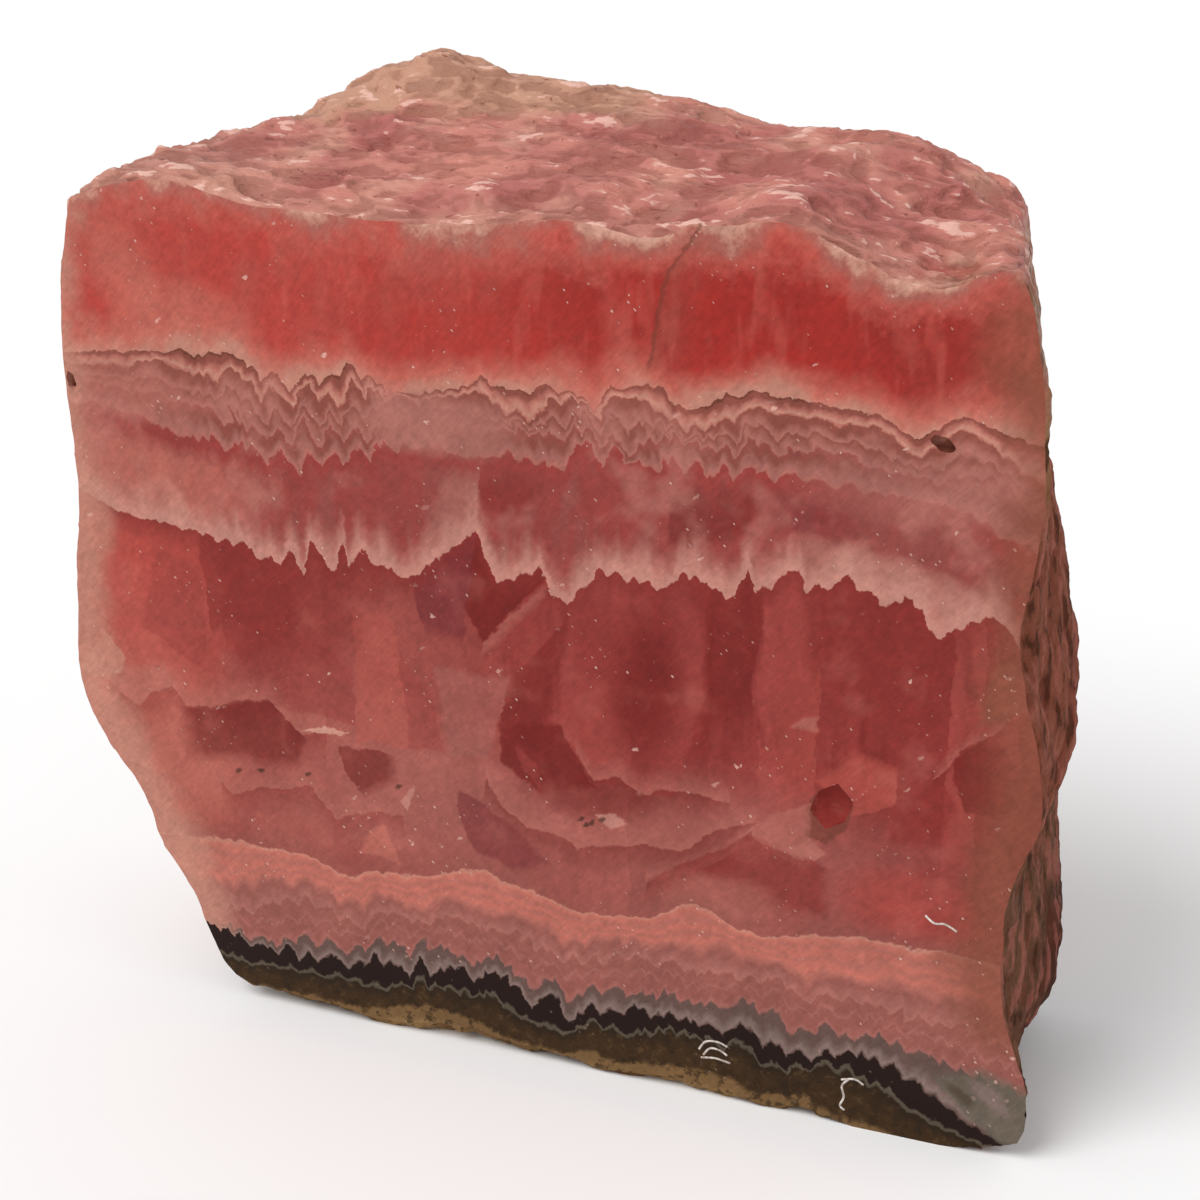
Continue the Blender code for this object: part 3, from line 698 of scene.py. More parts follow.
DARK_SPECKS: Places = (
    (-29.1, 23.8), (-26.8, 24.4), (-21.9, 24.7), (-13.4, 25.4), (4.1, 25.1), (4.6, 24.6), (5.2, 24.9), (6.2, 25.4),
)
ROSE_PATCHES: Patches = (
    Cloud(-21, 25, 17, 8, Tone.DUSKY_PEACH, 0.5),
    Cloud(10, 23, 26, 7, Tone.GREY_MAUVE, 0.5),
    Cloud(-42, 40, 10, 13, Tone.SALMON, 0.8, 0.8),
    Cloud(-40, 24, 9, 9, Tone.PALE_SALMON, 0.6, 0.8),
    Cloud(-13, 36, 8, 9, Tone.DUSKY_PEACH, 0.3),
    Cloud(-36, 44, 5, 4, Tone.RED, 0.5),
    Facet(((-42.3, 31.3), (-39.1, 29.2), (-35.2, 31.2), (-36.2, 33.4)), Tone.DUSKY_PEACH, 0.6, (0.2, 0.2, 0.25, 1.2)),
    Facet(((-27, 31.5), (-17, 30.5), (-17.2, 36.5), (-22, 38), (-26.5, 36)), Tone.ROSE, 0.6, (0.3, 0.25, 0.3, 1.5, 0.6)),
    Facet(
        ((-16.9, 29.1), (-12, 29.3), (-12.4, 36), (-13, 40.5), (-16.7, 40.5)),
        Tone.SALMON, 0.35, (0.8, 0.4, 0.25, 3, 0.4),
    ),
    Facet(((-12, 29.3), (-8.6, 29.5), (-9.8, 34.5), (-12.4, 38)), Tone.ROSE, 0.5, (0.5, 0.4, 0.5, 0.3)),
    Facet(((-7.8, 29.5), (-4.4, 29.7), (-2.4, 37.2), (-9.1, 36.9)), Tone.GREY_MAUVE, 0.4, (1.2, 0.3, 1.2, 0.9)),
    Facet(((-38, 36.5), (-32, 33.5), (-31.6, 43), (-36, 44.5)), Tone.ROSE, 0.5, (0.3, 0.25, 1.5, 1.2)),
    Facet(
        ((-31.5, 46.5), (-31.2, 37.6), (-28.5, 39), (-27, 44), (-27.5, 47.5)),
        Tone.DEEP_ROSE, 0.7, (0.25, 0.8, 2, 2, 0.3),
    ),
    Facet(((-28, 48), (-27, 39), (-20, 37.5), (-15, 42), (-13.5, 48.5)), Tone.DEEP_ROSE, 0.5, (2.5, 4, 5, 3, 0.4)),
    Facet(((-45, 31.5), (-42.3, 30.8), (-40.5, 31.8), (-40, 33.4), (-42, 35.8)), Tone.PEACH, 0.6, (0.3, 0.3, 0.3, 0.3, 1.5)),
    Seam(((-42.3, 31), (-39.5, 29), (-35.6, 31.6), (-34, 29.6), (-30, 30.4), (-25.7, 31.8), (-22.8, 29.0), (-20.2, 29.3)),
         over=2.6, under=3.6, shade=Tone.DEEP_ROSE, strength=0.55, edge=Tone.DUSKY_PEACH),
    Facet(((-34, 29.5), (-33.6, 25), (-23, 26), (-22.6, 28.6), (-25.7, 31.6)), Tone.MAROON, 0.7, (3, 2, 0.8, 0.2, 0.3)),
    Facet(((-19, 28.2), (-18, 25.5), (-16.5, 23.8), (-14, 26), (-14, 28)), Tone.MAROON, 0.7, (0.2, 0.25, 1.5, 1.5, 0.25)),
    Seam(((-31.2, 22.7), (-29.9, 21.7), (-26.2, 22.8), (-22, 23.8), (-19.5, 21.2), (-16.7, 22.3), (-12.9, 22.4)),
         over=1.6, under=2.6, shade=Tone.DEEP_ROSE, strength=0.45),
    Facet(((-22.7, 29.2), (-20.2, 29.0), (-17.9, 29.5), (-20.3, 29.8)), Tone.CREAM, 0.7, (0.15,)),
    Facet(((-13.3, 24), (-12.4, 23), (-11.7, 25.6)), Tone.PALE_FRONT, 0.55, (0.2,)),
    Facet(((-17, 17.8), (-13.2, 17.6), (-14.7, 20.8), (-16, 20.3)), Tone.PALE_SALMON, 0.6, (0.5, 0.15, 0.3, 0.8)),
    Facet(((-11.3, 46), (-10.2, 41), (-6.5, 40.3), (-4.8, 51), (-7, 50)), Tone.DARK_MAUVE, 0.8, (0.2, 1.6, 0.15, 0.3, 0.3)),
    Facet(((-6.2, 43), (-4.9, 40.5), (1.8, 47.5), (-1, 49.5), (-4.7, 52)), Tone.MAROON, 0.85, (0.25, 0.15, 0.3, 0.3, 0.3)),
    Seam(((-4.9, 40.2), (-1.5, 43.4), (1.6, 46.6)), over=0.4, under=1.2, shade=Tone.DUSKY_PEACH, strength=0.45),
    Facet(((-3.2, 33), (2.2, 33.8), (2.8, 41), (4.2, 46.4), (-0.6, 39.2), (-2.7, 36.5)), Tone.MAROON, 0.6, (0.4, 0.8, 1.6, 1.5, 0.4, 0.25)),
    Facet(((-3.3, 32.9), (-3.1, 29.3), (0.3, 26.8), (5.3, 28.6), (2.2, 33.8)), Tone.MAROON, 0.85, (0.3, 0.5, 0.8, 0.15, 0.5)),
    Facet(((-1.6, 31), (-1.1, 29), (0.5, 26.8), (0.2, 29.3)), Tone.ROSE, 0.6, (0.4, 0.2, 0.15, 0.6)),
    Facet(((2.4, 34.4), (3.4, 31.8), (5.3, 28.9), (12.6, 29), (15, 38), (15, 43), (13.5, 49), (5.4, 48.5), (2.9, 41)),
          Tone.ROSE, 0.7, (0.2, 0.15, 0.2, 0.5, 1.5, 1.5, 0.5, 1.5, 0.6)),
    Cloud(10, 38.8, 2.7, 6.4, Tone.MAROON, 0.8, 0.9, -4),
    Cloud(6, 42, 2.6, 3.5, Tone.DEEP_ROSE, 0.6),
    Cloud(5, 27.4, 5, 1.8, Tone.MAROON, 0.6),
    Seam(((3.8, 31.7), (5.5, 29.2), (7.7, 30), (9.5, 28.7), (11.7, 29.7), (17.5, 29.4)), over=1.8, under=2.6, strength=0.5),
    Seam(((-4.8, 27.5), (-1, 23.5), (1.6, 23.5), (3.8, 22.2), (6.4, 23.2), (10.1, 24.1), (13.3, 24), (16.3, 26.5), (20, 28.1)),
         over=2.8, under=3.2, strength=0.5),
    Facet(((15.6, 36), (19.6, 38.6), (20, 44), (19.5, 51), (15.8, 49)), Tone.MAROON, 0.65, (3, 0.9, 0.4, 0.3, 1.6)),
    Facet(((19.6, 38), (23.5, 39.5), (24.5, 51), (21.4, 51), (19.7, 43.6)), Tone.ROSE, 0.6, (3, 2, 0.5, 0.6, 0.3)),
    Facet(((24, 44.5), (26, 40), (34, 38.6), (35.4, 46.5), (29, 51), (24, 52)), Tone.DEEP_ROSE, 0.7, (2.5, 3, 3, 1.5, 0.3, 1.5)),
    Facet(((38.2, 40), (43, 41.7), (43, 47), (38.8, 44.6)), Tone.TAN_ROSE, 0.8, (0.8, 1, 1, 1)),
    Facet(((31.5, 28.6), (35.9, 28.6), (36.8, 32), (35.5, 34.6), (31.6, 33.6)), Tone.DEEP_ROSE, 0.7, (1.8, 1.2, 0.4, 0.8, 0.25)),
    Seam(((34.8, 34.4), (36.3, 36.3), (38.5, 38.8), (40.4, 40.5)), over=1.2, under=1.6, strength=0.4),
    Facet(((36.5, 34.3), (37.7, 31.8), (41.6, 33), (40.7, 38.2), (38.5, 38.2), (36.4, 36.0)), Tone.MAROON, 0.8, (0.25, 0.25, 1.2, 1.2, 0.2, 0.2)),
    Facet(((23, 37), (24.8, 36.8), (24.7, 38.2), (23.7, 38)), Tone.DUSKY_PEACH, 0.7, (0.6,)),
    Facet(((28.5, 30), (31.6, 31.4), (31.8, 34.1), (28, 35), (25.5, 32.5)), Tone.SALMON, 0.5, (0.25, 0.15, 1.8, 2, 1)),
    Facet(
        ((24.2, 27.4), (26.0, 26.8), (27.9, 28.6), (28.2, 31.0), (25.6, 32.0), (24.5, 30.6)),
        Tone.BROWN_LINE, 0.7, (0.2,),
    ),
    Facet(
        ((19.4, 26.7), (22.1, 25), (24.4, 27.4), (24.6, 30.3), (21.4, 28.9)),
        Tone.DUSKY_PEACH, 0.5, (0.25, 0.25, 0.5, 0.4, 0.2),
    ),
    Facet(((22.1, 25.1), (24.1, 24.1), (26, 25.9), (24.4, 27.3)), Tone.DUSKY_PEACH, 0.9, (0.3,)),
    Facet(((-7.8, 24.3), (-5.9, 20.3), (-2, 19), (0.6, 20.6), (-3.2, 24), (-7.3, 26)), Tone.DARK_MAUVE, 0.65, (0.25, 0.7, 1.5, 1, 0.4, 0.4)),
    Seam(((10.1, 20.4), (15, 22.5), (18, 24.8), (20, 27.2)), over=1.6, under=2.4, strength=0.5),
    Facet(((11, 20.8), (15.7, 19), (26, 20.6), (26, 24.4), (19.5, 26.4)), Tone.DEEP_ROSE, 0.7, (1.5, 2, 1.5, 0.6, 0.3)),
    Facet(((5.6, 25.6), (7.2, 24.8), (8.6, 25.5), (7, 26.3)), Tone.PALE_FRONT, 0.6, (0.4,)),
    Cloud(33, 22.5, 5, 2.8, Tone.RED, 0.5, 0.9),
    Cloud(17, 20.2, 4.5, 1.6, Tone.DUSKY_PEACH, 0.6),
    Cloud(37, 24.5, 2.6, 4, Tone.DEEP_ROSE, 0.5),
    *(Cloud(x, z, 0.34, 0.22, Tone.DEEP_BROWN, 0.75, 0.8, 30) for x, z in DARK_SPECKS),
)
FOOT_PATCHES: Patches = (
    Facet(
        ((36.0, 6.6), (39.5, 3.2), (42.5, 1.4), (46, 2.4), (46, 6.4), (40, 8.0)),
        Tone.QUARTZ, 0.85, (0.5, 0.4, 0.4, 1, 1.4, 1.4),
    ),
    Cloud(41.2, 5.6, 2.0, 0.7, Tone.PALE_GREY, 0.75, 0.9, -35),
    Cloud(38.6, 5.2, 1.3, 0.5, Tone.DARK_BROWN, 0.6, 0.9, -40),
)


@dataclass(frozen=True)
class GrowthBands:
    """The stone's layers in one zone, from the red one at the top to the tan one at the foot."""

    zone: Zone
    wander: float = 0.9
    hem: float = 4.0

    def near(self, line: Places, margin: float = 8.0) -> tuple[float, float]:
        """Gives a drawn line's lowest and highest place in the zone's breadth."""
        heights = [z for x, z in line if self.zone.low[0] - margin < x < self.zone.high[0] + margin]
        return min(heights), max(heights)

    def group(self) -> bpy.types.NodeTree:
        """Builds the shader group that lays down the bands.

        Returns:
            A group from a point in millimetres to the stone's colour, with a mask of its dark foot.
        """
        outputs = {"Colour": "Color", "Dark": "Float"}
        group, w, given, result = new_group(f"{self.zone.name} bands", {"Point": "Vector"}, outputs)
        point = self.drift(w, given["Point"])
        middle = w.noise(point, 0.26, 2.0)
        cloud = w.split(middle)[1]
        fine_x, fine_y, fine_z = w.split(w.noise(point, 1.3, 3.0, 0.65))
        x, _, z = w.split(point)
        x = w.math("MULTIPLY_ADD", fine_x, 0.8, x)
        z = w.math("MULTIPLY_ADD", fine_z, 0.8, z)
        teeth = w.teeth(w.math("MULTIPLY_ADD", cloud, 3.0, x), 1.35)
        flat = w.vector("MULTIPLY_ADD", middle, (1.5, 0.0, 1.5), w.join(x, 1.0, z))
        feather = w.soft_noise(w.vector("MULTIPLY", point, (0.55, 0.4, 0.12)), 1.0, 2.0)

        foot, top = self.zone.low[1], self.zone.high[1]
        colour: Triple = Tone.MAUVE.value
        if top > self.near(ROSE_LINE)[0] and foot < self.near(MAUVE_LINE)[1]:
            colour = self.mauve(w, flat, feather, cloud)
        if top > self.near(MAUVE_LINE)[0] - ZIGZAG.tail:
            red: Triple = Tone.PEACH.value
            if top > self.near(FIRST_LINE)[0]:
                red = self.red(w, flat, x, z, cloud, fine_y, feather)
            only_red = foot > self.near(FIRST_LINE)[1]
            colour = red if only_red else self.zigzag(w, flat, x, z, teeth, cloud, red, colour)
        if foot < self.near(ROSE_LINE)[1] + self.hem:
            rose = self.rose(w, flat, feather, cloud)
            only_rose = top < self.near(ROSE_LINE)[0] - self.hem
            colour = rose if only_rose else self.rose_edge(w, x, z, teeth, feather, colour, rose)
        dark: Number = 0.0
        if foot < self.near(PEACH_LINE)[1]:
            colour, dark = self.foot(w, flat, x, z, teeth, cloud, fine_y, colour)
        colour = self.margins(w, x, z, cloud, colour, dark)
        grain = w.math("MULTIPLY_ADD", w.math("ADD", fine_y, cloud), 0.38, 1.0)
        w.put(result["Colour"], w.vector("SCALE", colour, scale=grain))
        w.put(result["Dark"], dark)
        return group

    def lay(self, w: Wiring, patches: Patches, point: Socket, colour: Socket) -> Socket:
        """Lays those of the patches that show in the zone over a colour."""
        for patch in patches:
            if self.zone.cut and self.zone.holds(*patch.box()):
                colour = patch.lay(w, point, colour)
        return colour

    def drift(self, w: Wiring, point: Socket) -> Socket:
        """Lets the layers wander as they go deeper than the cut front."""
        if self.zone.cut and self.zone is not BACK:
            return point
        _, y, _ = w.split(point)
        depth = w.math("MAXIMUM", w.math("SUBTRACT", y, FRONT_Y), 0.0)
        wander = w.vector("SCALE", w.noise(point, 0.05, 0.0), scale=w.math("MULTIPLY", depth, self.wander))
        return w.vector("ADD", point, wander)

    def red(
        self, w: Wiring, flat: Socket, x: Socket, z: Socket, cloud: Socket, fine: Socket, feather: Socket
    ) -> Socket:
        """The thick red layer at the top, pale where it meets the broken edge and the zigzag."""
        colour = w.mix(w.reach(cloud, -0.2, 0.2), Tone.SALMON.value, Tone.RED.value)
        colour = self.lay(w, RED_PATCHES, flat, colour)
        colour = w.mix(w.reach(feather, 0.02, 0.2, 0.0, 0.4), colour, Tone.SALMON.value)
        stirred = w.math("MULTIPLY_ADD", cloud, 5.0, w.level(x, z, FIRST_LINE))
        pale = w.ramp(stirred, ((0.0, Tone.PEACH.faded(0.9)), (1.2, Tone.PALE_SALMON.faded(0.8)), (3.6, Tone.SALMON.faded(0.0))))
        colour = w.mix(pale.outputs["Alpha"], colour, pale.outputs["Color"])
        under_edge = w.math("MULTIPLY_ADD", cloud, -7.0, w.math("MULTIPLY_ADD", fine, 2.5, w.level(x, z, TOP_EDGE)))
        edge = w.ramp(
            under_edge,
            (
                (-4.5, Tone.SALMON.faded(0.0)), (-2.4, Tone.SALMON.faded(0.85)), (-0.9, Tone.DUSKY_PEACH.faded(0.9)),
                (-0.2, Tone.PEACH.faded(1.0)), (0.6, Tone.CREAM.faded(1.0)),
            ),
        )
        colour = w.mix(edge.outputs["Alpha"], colour, edge.outputs["Color"])
        return self.crack(w, x, z, colour)

    def zigzag(
        self, w: Wiring, flat: Socket, x: Socket, z: Socket, teeth: Socket, cloud: Socket, over: Socket, under: Socket
    ) -> Socket:
        """The nested zigzag layers, low on the top line and sharp under it."""
        deep = w.reach(z, 64.0, 60.5, 0.3, 1.0)
        height = w.math("MULTIPLY", w.line(x, ZIGZAG_TEETH), deep)
        stir = w.math("MULTIPLY", cloud, 0.9)
        colour = ZIGZAG.lay(w, x, w.math("MULTIPLY_ADD", teeth, height, z), over, under, stir)
        haze = self.lay(w, ZIGZAG_CLOUDS, flat, colour)
        haze = w.mix(w.reach(cloud, 0.0, 0.2, 0.0, 0.45), haze, Tone.HAZE.value)
        return w.mix(w.reach(z, 64.0, 62.0), colour, haze)

    def mauve(self, w: Wiring, flat: Socket, feather: Socket, cloud: Socket) -> Socket:
        """Feathery upright crystals under the zigzag."""
        colour = w.mix(w.reach(feather, -0.14, 0.14), Tone.MAUVE.value, Tone.ROSE.value)
        colour = self.lay(w, MAUVE_PATCHES, flat, colour)
        return w.mix(w.reach(cloud, -0.05, 0.25, 0.0, 0.25), colour, Tone.GREY_MAUVE.value)

    def rose(self, w: Wiring, flat: Socket, feather: Socket, cloud: Socket) -> Socket:
        """The thick rose layer of large crystals, cut through and glassy."""
        cells = w.cells(w.vector("MULTIPLY", flat, (0.24, 0.0, 0.1)), dimensions="2D")
        shade, warmth, _ = w.split(cells.outputs["Color"])
        colour = w.mix(w.reach(shade, 0.1, 0.9, 0.0, 1.0, smooth=False), Tone.DEEP_ROSE.value, Tone.ROSE.value)
        colour = w.mix(w.reach(warmth, 0.5, 1.0, 0.0, 0.35), colour, Tone.SALMON.value)
        colour = w.mix(w.reach(feather, -0.02, -0.2, 0.0, 0.4), colour, Tone.MAROON.value)
        colour = self.lay(w, ROSE_PATCHES, flat, colour)
        return w.mix(w.reach(cloud, 0.03, 0.25, 0.0, 0.2), colour, Tone.DUSKY_PEACH.value)

    def rose_edge(
        self, w: Wiring, x: Socket, z: Socket, teeth: Socket, feather: Socket, over: Socket, under: Socket
    ) -> Socket:
        """The rose layer's spiky top, under a pale feathered hem."""
        level = w.math("MULTIPLY_ADD", teeth, w.line(x, HEM_TEETH), w.level(x, z, ROSE_LINE))
        feathered = w.math("MULTIPLY_ADD", feather, w.reach(level, 0.0, 2.0, 0.0, 4.0), level)
        hem = w.ramp(
            feathered,
            (
                (-2.4, Tone.DEEP_ROSE.faded(0.0)),
                (-0.06, Tone.DEEP_ROSE.faded(0.75)),
                (0.06, Tone.PALE_FRONT.faded(0.85)),
                (1.0, Tone.PALE_FRONT.faded(0.7)),
                (3.8, Tone.HAZE.faded(0.0)),
            ),
        )
        colour = w.mix(w.reach(level, 0.04, -0.04, smooth=False), over, under)
        return w.mix(hem.outputs["Alpha"], colour, hem.outputs["Color"])

    def foot(
        self, w: Wiring, flat: Socket, x: Socket, z: Socket, teeth: Socket, cloud: Socket, fine: Socket, over: Socket
    ) -> tuple[Socket, Socket]:
        """The peach layers, the grey teeth over the black layer, and the brown foot with its tan edge."""
        over = w.mix(w.reach(w.level(x, z, PEACH_LINE), 2.6, 0.0, 0.0, 0.5), over, Tone.FOOT_MAUVE.value)
        jagged = w.math("MULTIPLY", w.reach(z, 15.5, 12.0, 0.1, 1.1), w.reach(z, 3.5, 5.5, 0.3, 1.0))
        height = w.math("MULTIPLY_ADD", teeth, jagged, z)
        stirred = w.math("MULTIPLY_ADD", cloud, w.reach(z, 8.0, 14.0, 0.0, 3.0), height)
        colour = FOOT.lay(w, x, stirred, over, None)
        dark = w.reach(w.level(x, height, BLACK_LINE), 0.1, -0.1)
        mottled = w.mix(w.reach(fine, 0.0, 0.14, 0.0, 0.75), colour, Tone.DEEP_BROWN.value)
        mottled = w.mix(w.reach(fine, -0.05, -0.2, 0.0, 0.25), mottled, Tone.TAN.value)
        colour = w.mix(w.reach(w.level(x, z, BROWN_LINE), -0.2, -0.6), colour, mottled)
        return self.lay(w, FOOT_PATCHES, flat, colour), dark

    def margins(self, w: Wiring, x: Socket, z: Socket, cloud: Socket, colour: Socket, dark: Number) -> Socket:
        """A pale margin on the left, where light comes through, and a brownish one on the right."""
        if self.zone.low[0] < min(x for _, x in LEFT_EDGE):
            from_left = w.math("SUBTRACT", x, w.line(z, LEFT_EDGE))
            pale = w.reach(w.math("MULTIPLY_ADD", cloud, 5.0, from_left), 0.4, 4.6, 0.8, 0.0)
            pale = w.math("MULTIPLY", pale, w.reach(dark, 1.0, 0.0))
            colour = w.mix(pale, colour, Tone.PEACH.value)
        if self.zone.high[0] < max(x for _, x in RIGHT_EDGE):
            return colour
        from_right = w.math("SUBTRACT", w.line(z, RIGHT_EDGE), x)
        brown = w.reach(w.math("MULTIPLY_ADD", cloud, 5.0, from_right), 0.5, 6.5, 0.8, 0.0)
        brown = w.math("MULTIPLY", brown, w.reach(z, 9.0, 12.0))
        return w.mix(brown, colour, Tone.TAN_ROSE.value)

    def crack(self, w: Wiring, x: Socket, z: Socket, colour: Socket) -> Socket:
        """A fine brown crack down through the red layer, a little darker on its right."""
        beside = w.math("SUBTRACT", x, w.line(z, CRACK))
        ramp = w.ramp(
            beside,
            (
                (-0.3, Tone.BROWN_LINE.faded(0.0)), (-0.1, Tone.BROWN_LINE.faded(0.6)), (0.1, Tone.BROWN_LINE.faded(0.6)),
                (0.3, Tone.ROSE_BROWN.faded(0.35)), (4.0, Tone.ROSE_BROWN.faded(0.0)),
            ),
        )
        inside = w.math("MULTIPLY", ramp.outputs["Alpha"], w.reach(z, 65.0, 67.0))
        return w.mix(inside, colour, ramp.outputs["Color"])


def glint_fleck_group() -> bpy.types.NodeTree:
    """Builds the painted glints and the nicks of a cut face: small pale specks.

    Returns:
        A group from a point in millimetres, a turn, a cell size and a share of cells to a mask.
    """
    inputs = {"Point": "Vector", "Turn": "Float", "Cell": "Float", "Share": "Float", "Stir": "Float"}
    group, w, given, result = new_group("glint_flecks", inputs, {"Mask": "Float"})
    x, y, z = w.split(given["Point"])
    plane = w.join(w.math("MULTIPLY_ADD", y, 3.7, x), z, 0.0)
    turned = w.add("ShaderNodeVectorRotate", rotation_type="Z_AXIS")
    w.put(turned.inputs["Vector"], plane)
    w.put(turned.inputs["Angle"], given["Turn"])
    scaled = w.vector("DIVIDE", turned.outputs[0], w.join(w.math("MULTIPLY", given["Cell"], 1.9), given["Cell"], 1.0))
    spots = w.cells(scaled, dimensions="2D")
    pick, size, _ = w.split(spots.outputs["Color"])
    kept = w.math("LESS_THAN", pick, given["Share"])
    ragged = w.math("MULTIPLY_ADD", given["Stir"], 0.7, spots.outputs["Distance"])
    w.put(result["Mask"], w.math("MULTIPLY", kept, w.reach(ragged, 0.13, 0.03, 0.0, size)))
    return group


@dataclass(frozen=True)
class CutFinish:
    """A cut face: a dull polish over the bands, with fine saw marks, nicks and small painted glints."""

    name: str
    bands: bpy.types.NodeTree
    glint_flecks: bpy.types.NodeTree
    roughness: float = 0.42
    gloss: float = 0.15

    def material(self) -> bpy.types.Material:
        """Builds the finish.

        Returns:
            The material.
        """
        made, w, shader = principled(self.name, self.gloss)
        point = stone_point(w)
        bands = w.group(self.bands, Point=point)
        turned = w.add("ShaderNodeMapping", vector_type="TEXTURE")
        w.put(turned.inputs["Vector"], point)
        w.put(turned.inputs["Rotation"], (0.0, math.radians(-48.0), 0.0))
        w.put(turned.inputs["Scale"], (1.2, 1.0, 0.22))
        marks = w.soft_noise(turned.outputs[0], 1.0, 3.0)
        mottle = w.soft_noise(point, 2.2, 3.0)
        clusters = w.soft_noise(point, 0.16, 2.0)
        share = w.reach(clusters, -0.02, 0.2, 0.02, 0.5)
        small = w.group(self.glint_flecks, Point=point, Turn=0.8, Cell=0.5, Share=share, Stir=mottle).outputs["Mask"]
        large = w.group(self.glint_flecks, Point=point, Turn=-0.6, Cell=1.3, Share=w.math("MULTIPLY", share, 0.4), Stir=mottle)
        glint_fleck = w.math("MAXIMUM", small, large.outputs["Mask"])
        tone = w.math("MULTIPLY_ADD", marks, 0.34, w.math("MULTIPLY_ADD", mottle, 0.4, 1.0))
        colour = w.vector("SCALE", bands.outputs["Colour"], scale=tone)
        # Small pale specks painted in the base colour as glints of cleavage flakes, fewer on the dark foot.
        pale = w.math("MULTIPLY", glint_fleck, w.reach(bands.outputs["Dark"], 0.0, 1.0, 0.6, 0.15))
        w.put(shader.inputs["Base Color"], w.mix(pale, colour, Tone.FLAKE_GLINT.value))
        w.put(shader.inputs["Roughness"], w.math("MULTIPLY_ADD", marks, 0.4, self.roughness))
        bump = w.add("ShaderNodeBump")
        w.put(bump.inputs["Strength"], 0.5)
        w.put(bump.inputs["Distance"], 0.00012)
        w.put(bump.inputs["Height"], w.math("SUBTRACT", marks, glint_fleck))
        w.put(shader.inputs["Normal"], bump.outputs[0])
        return made


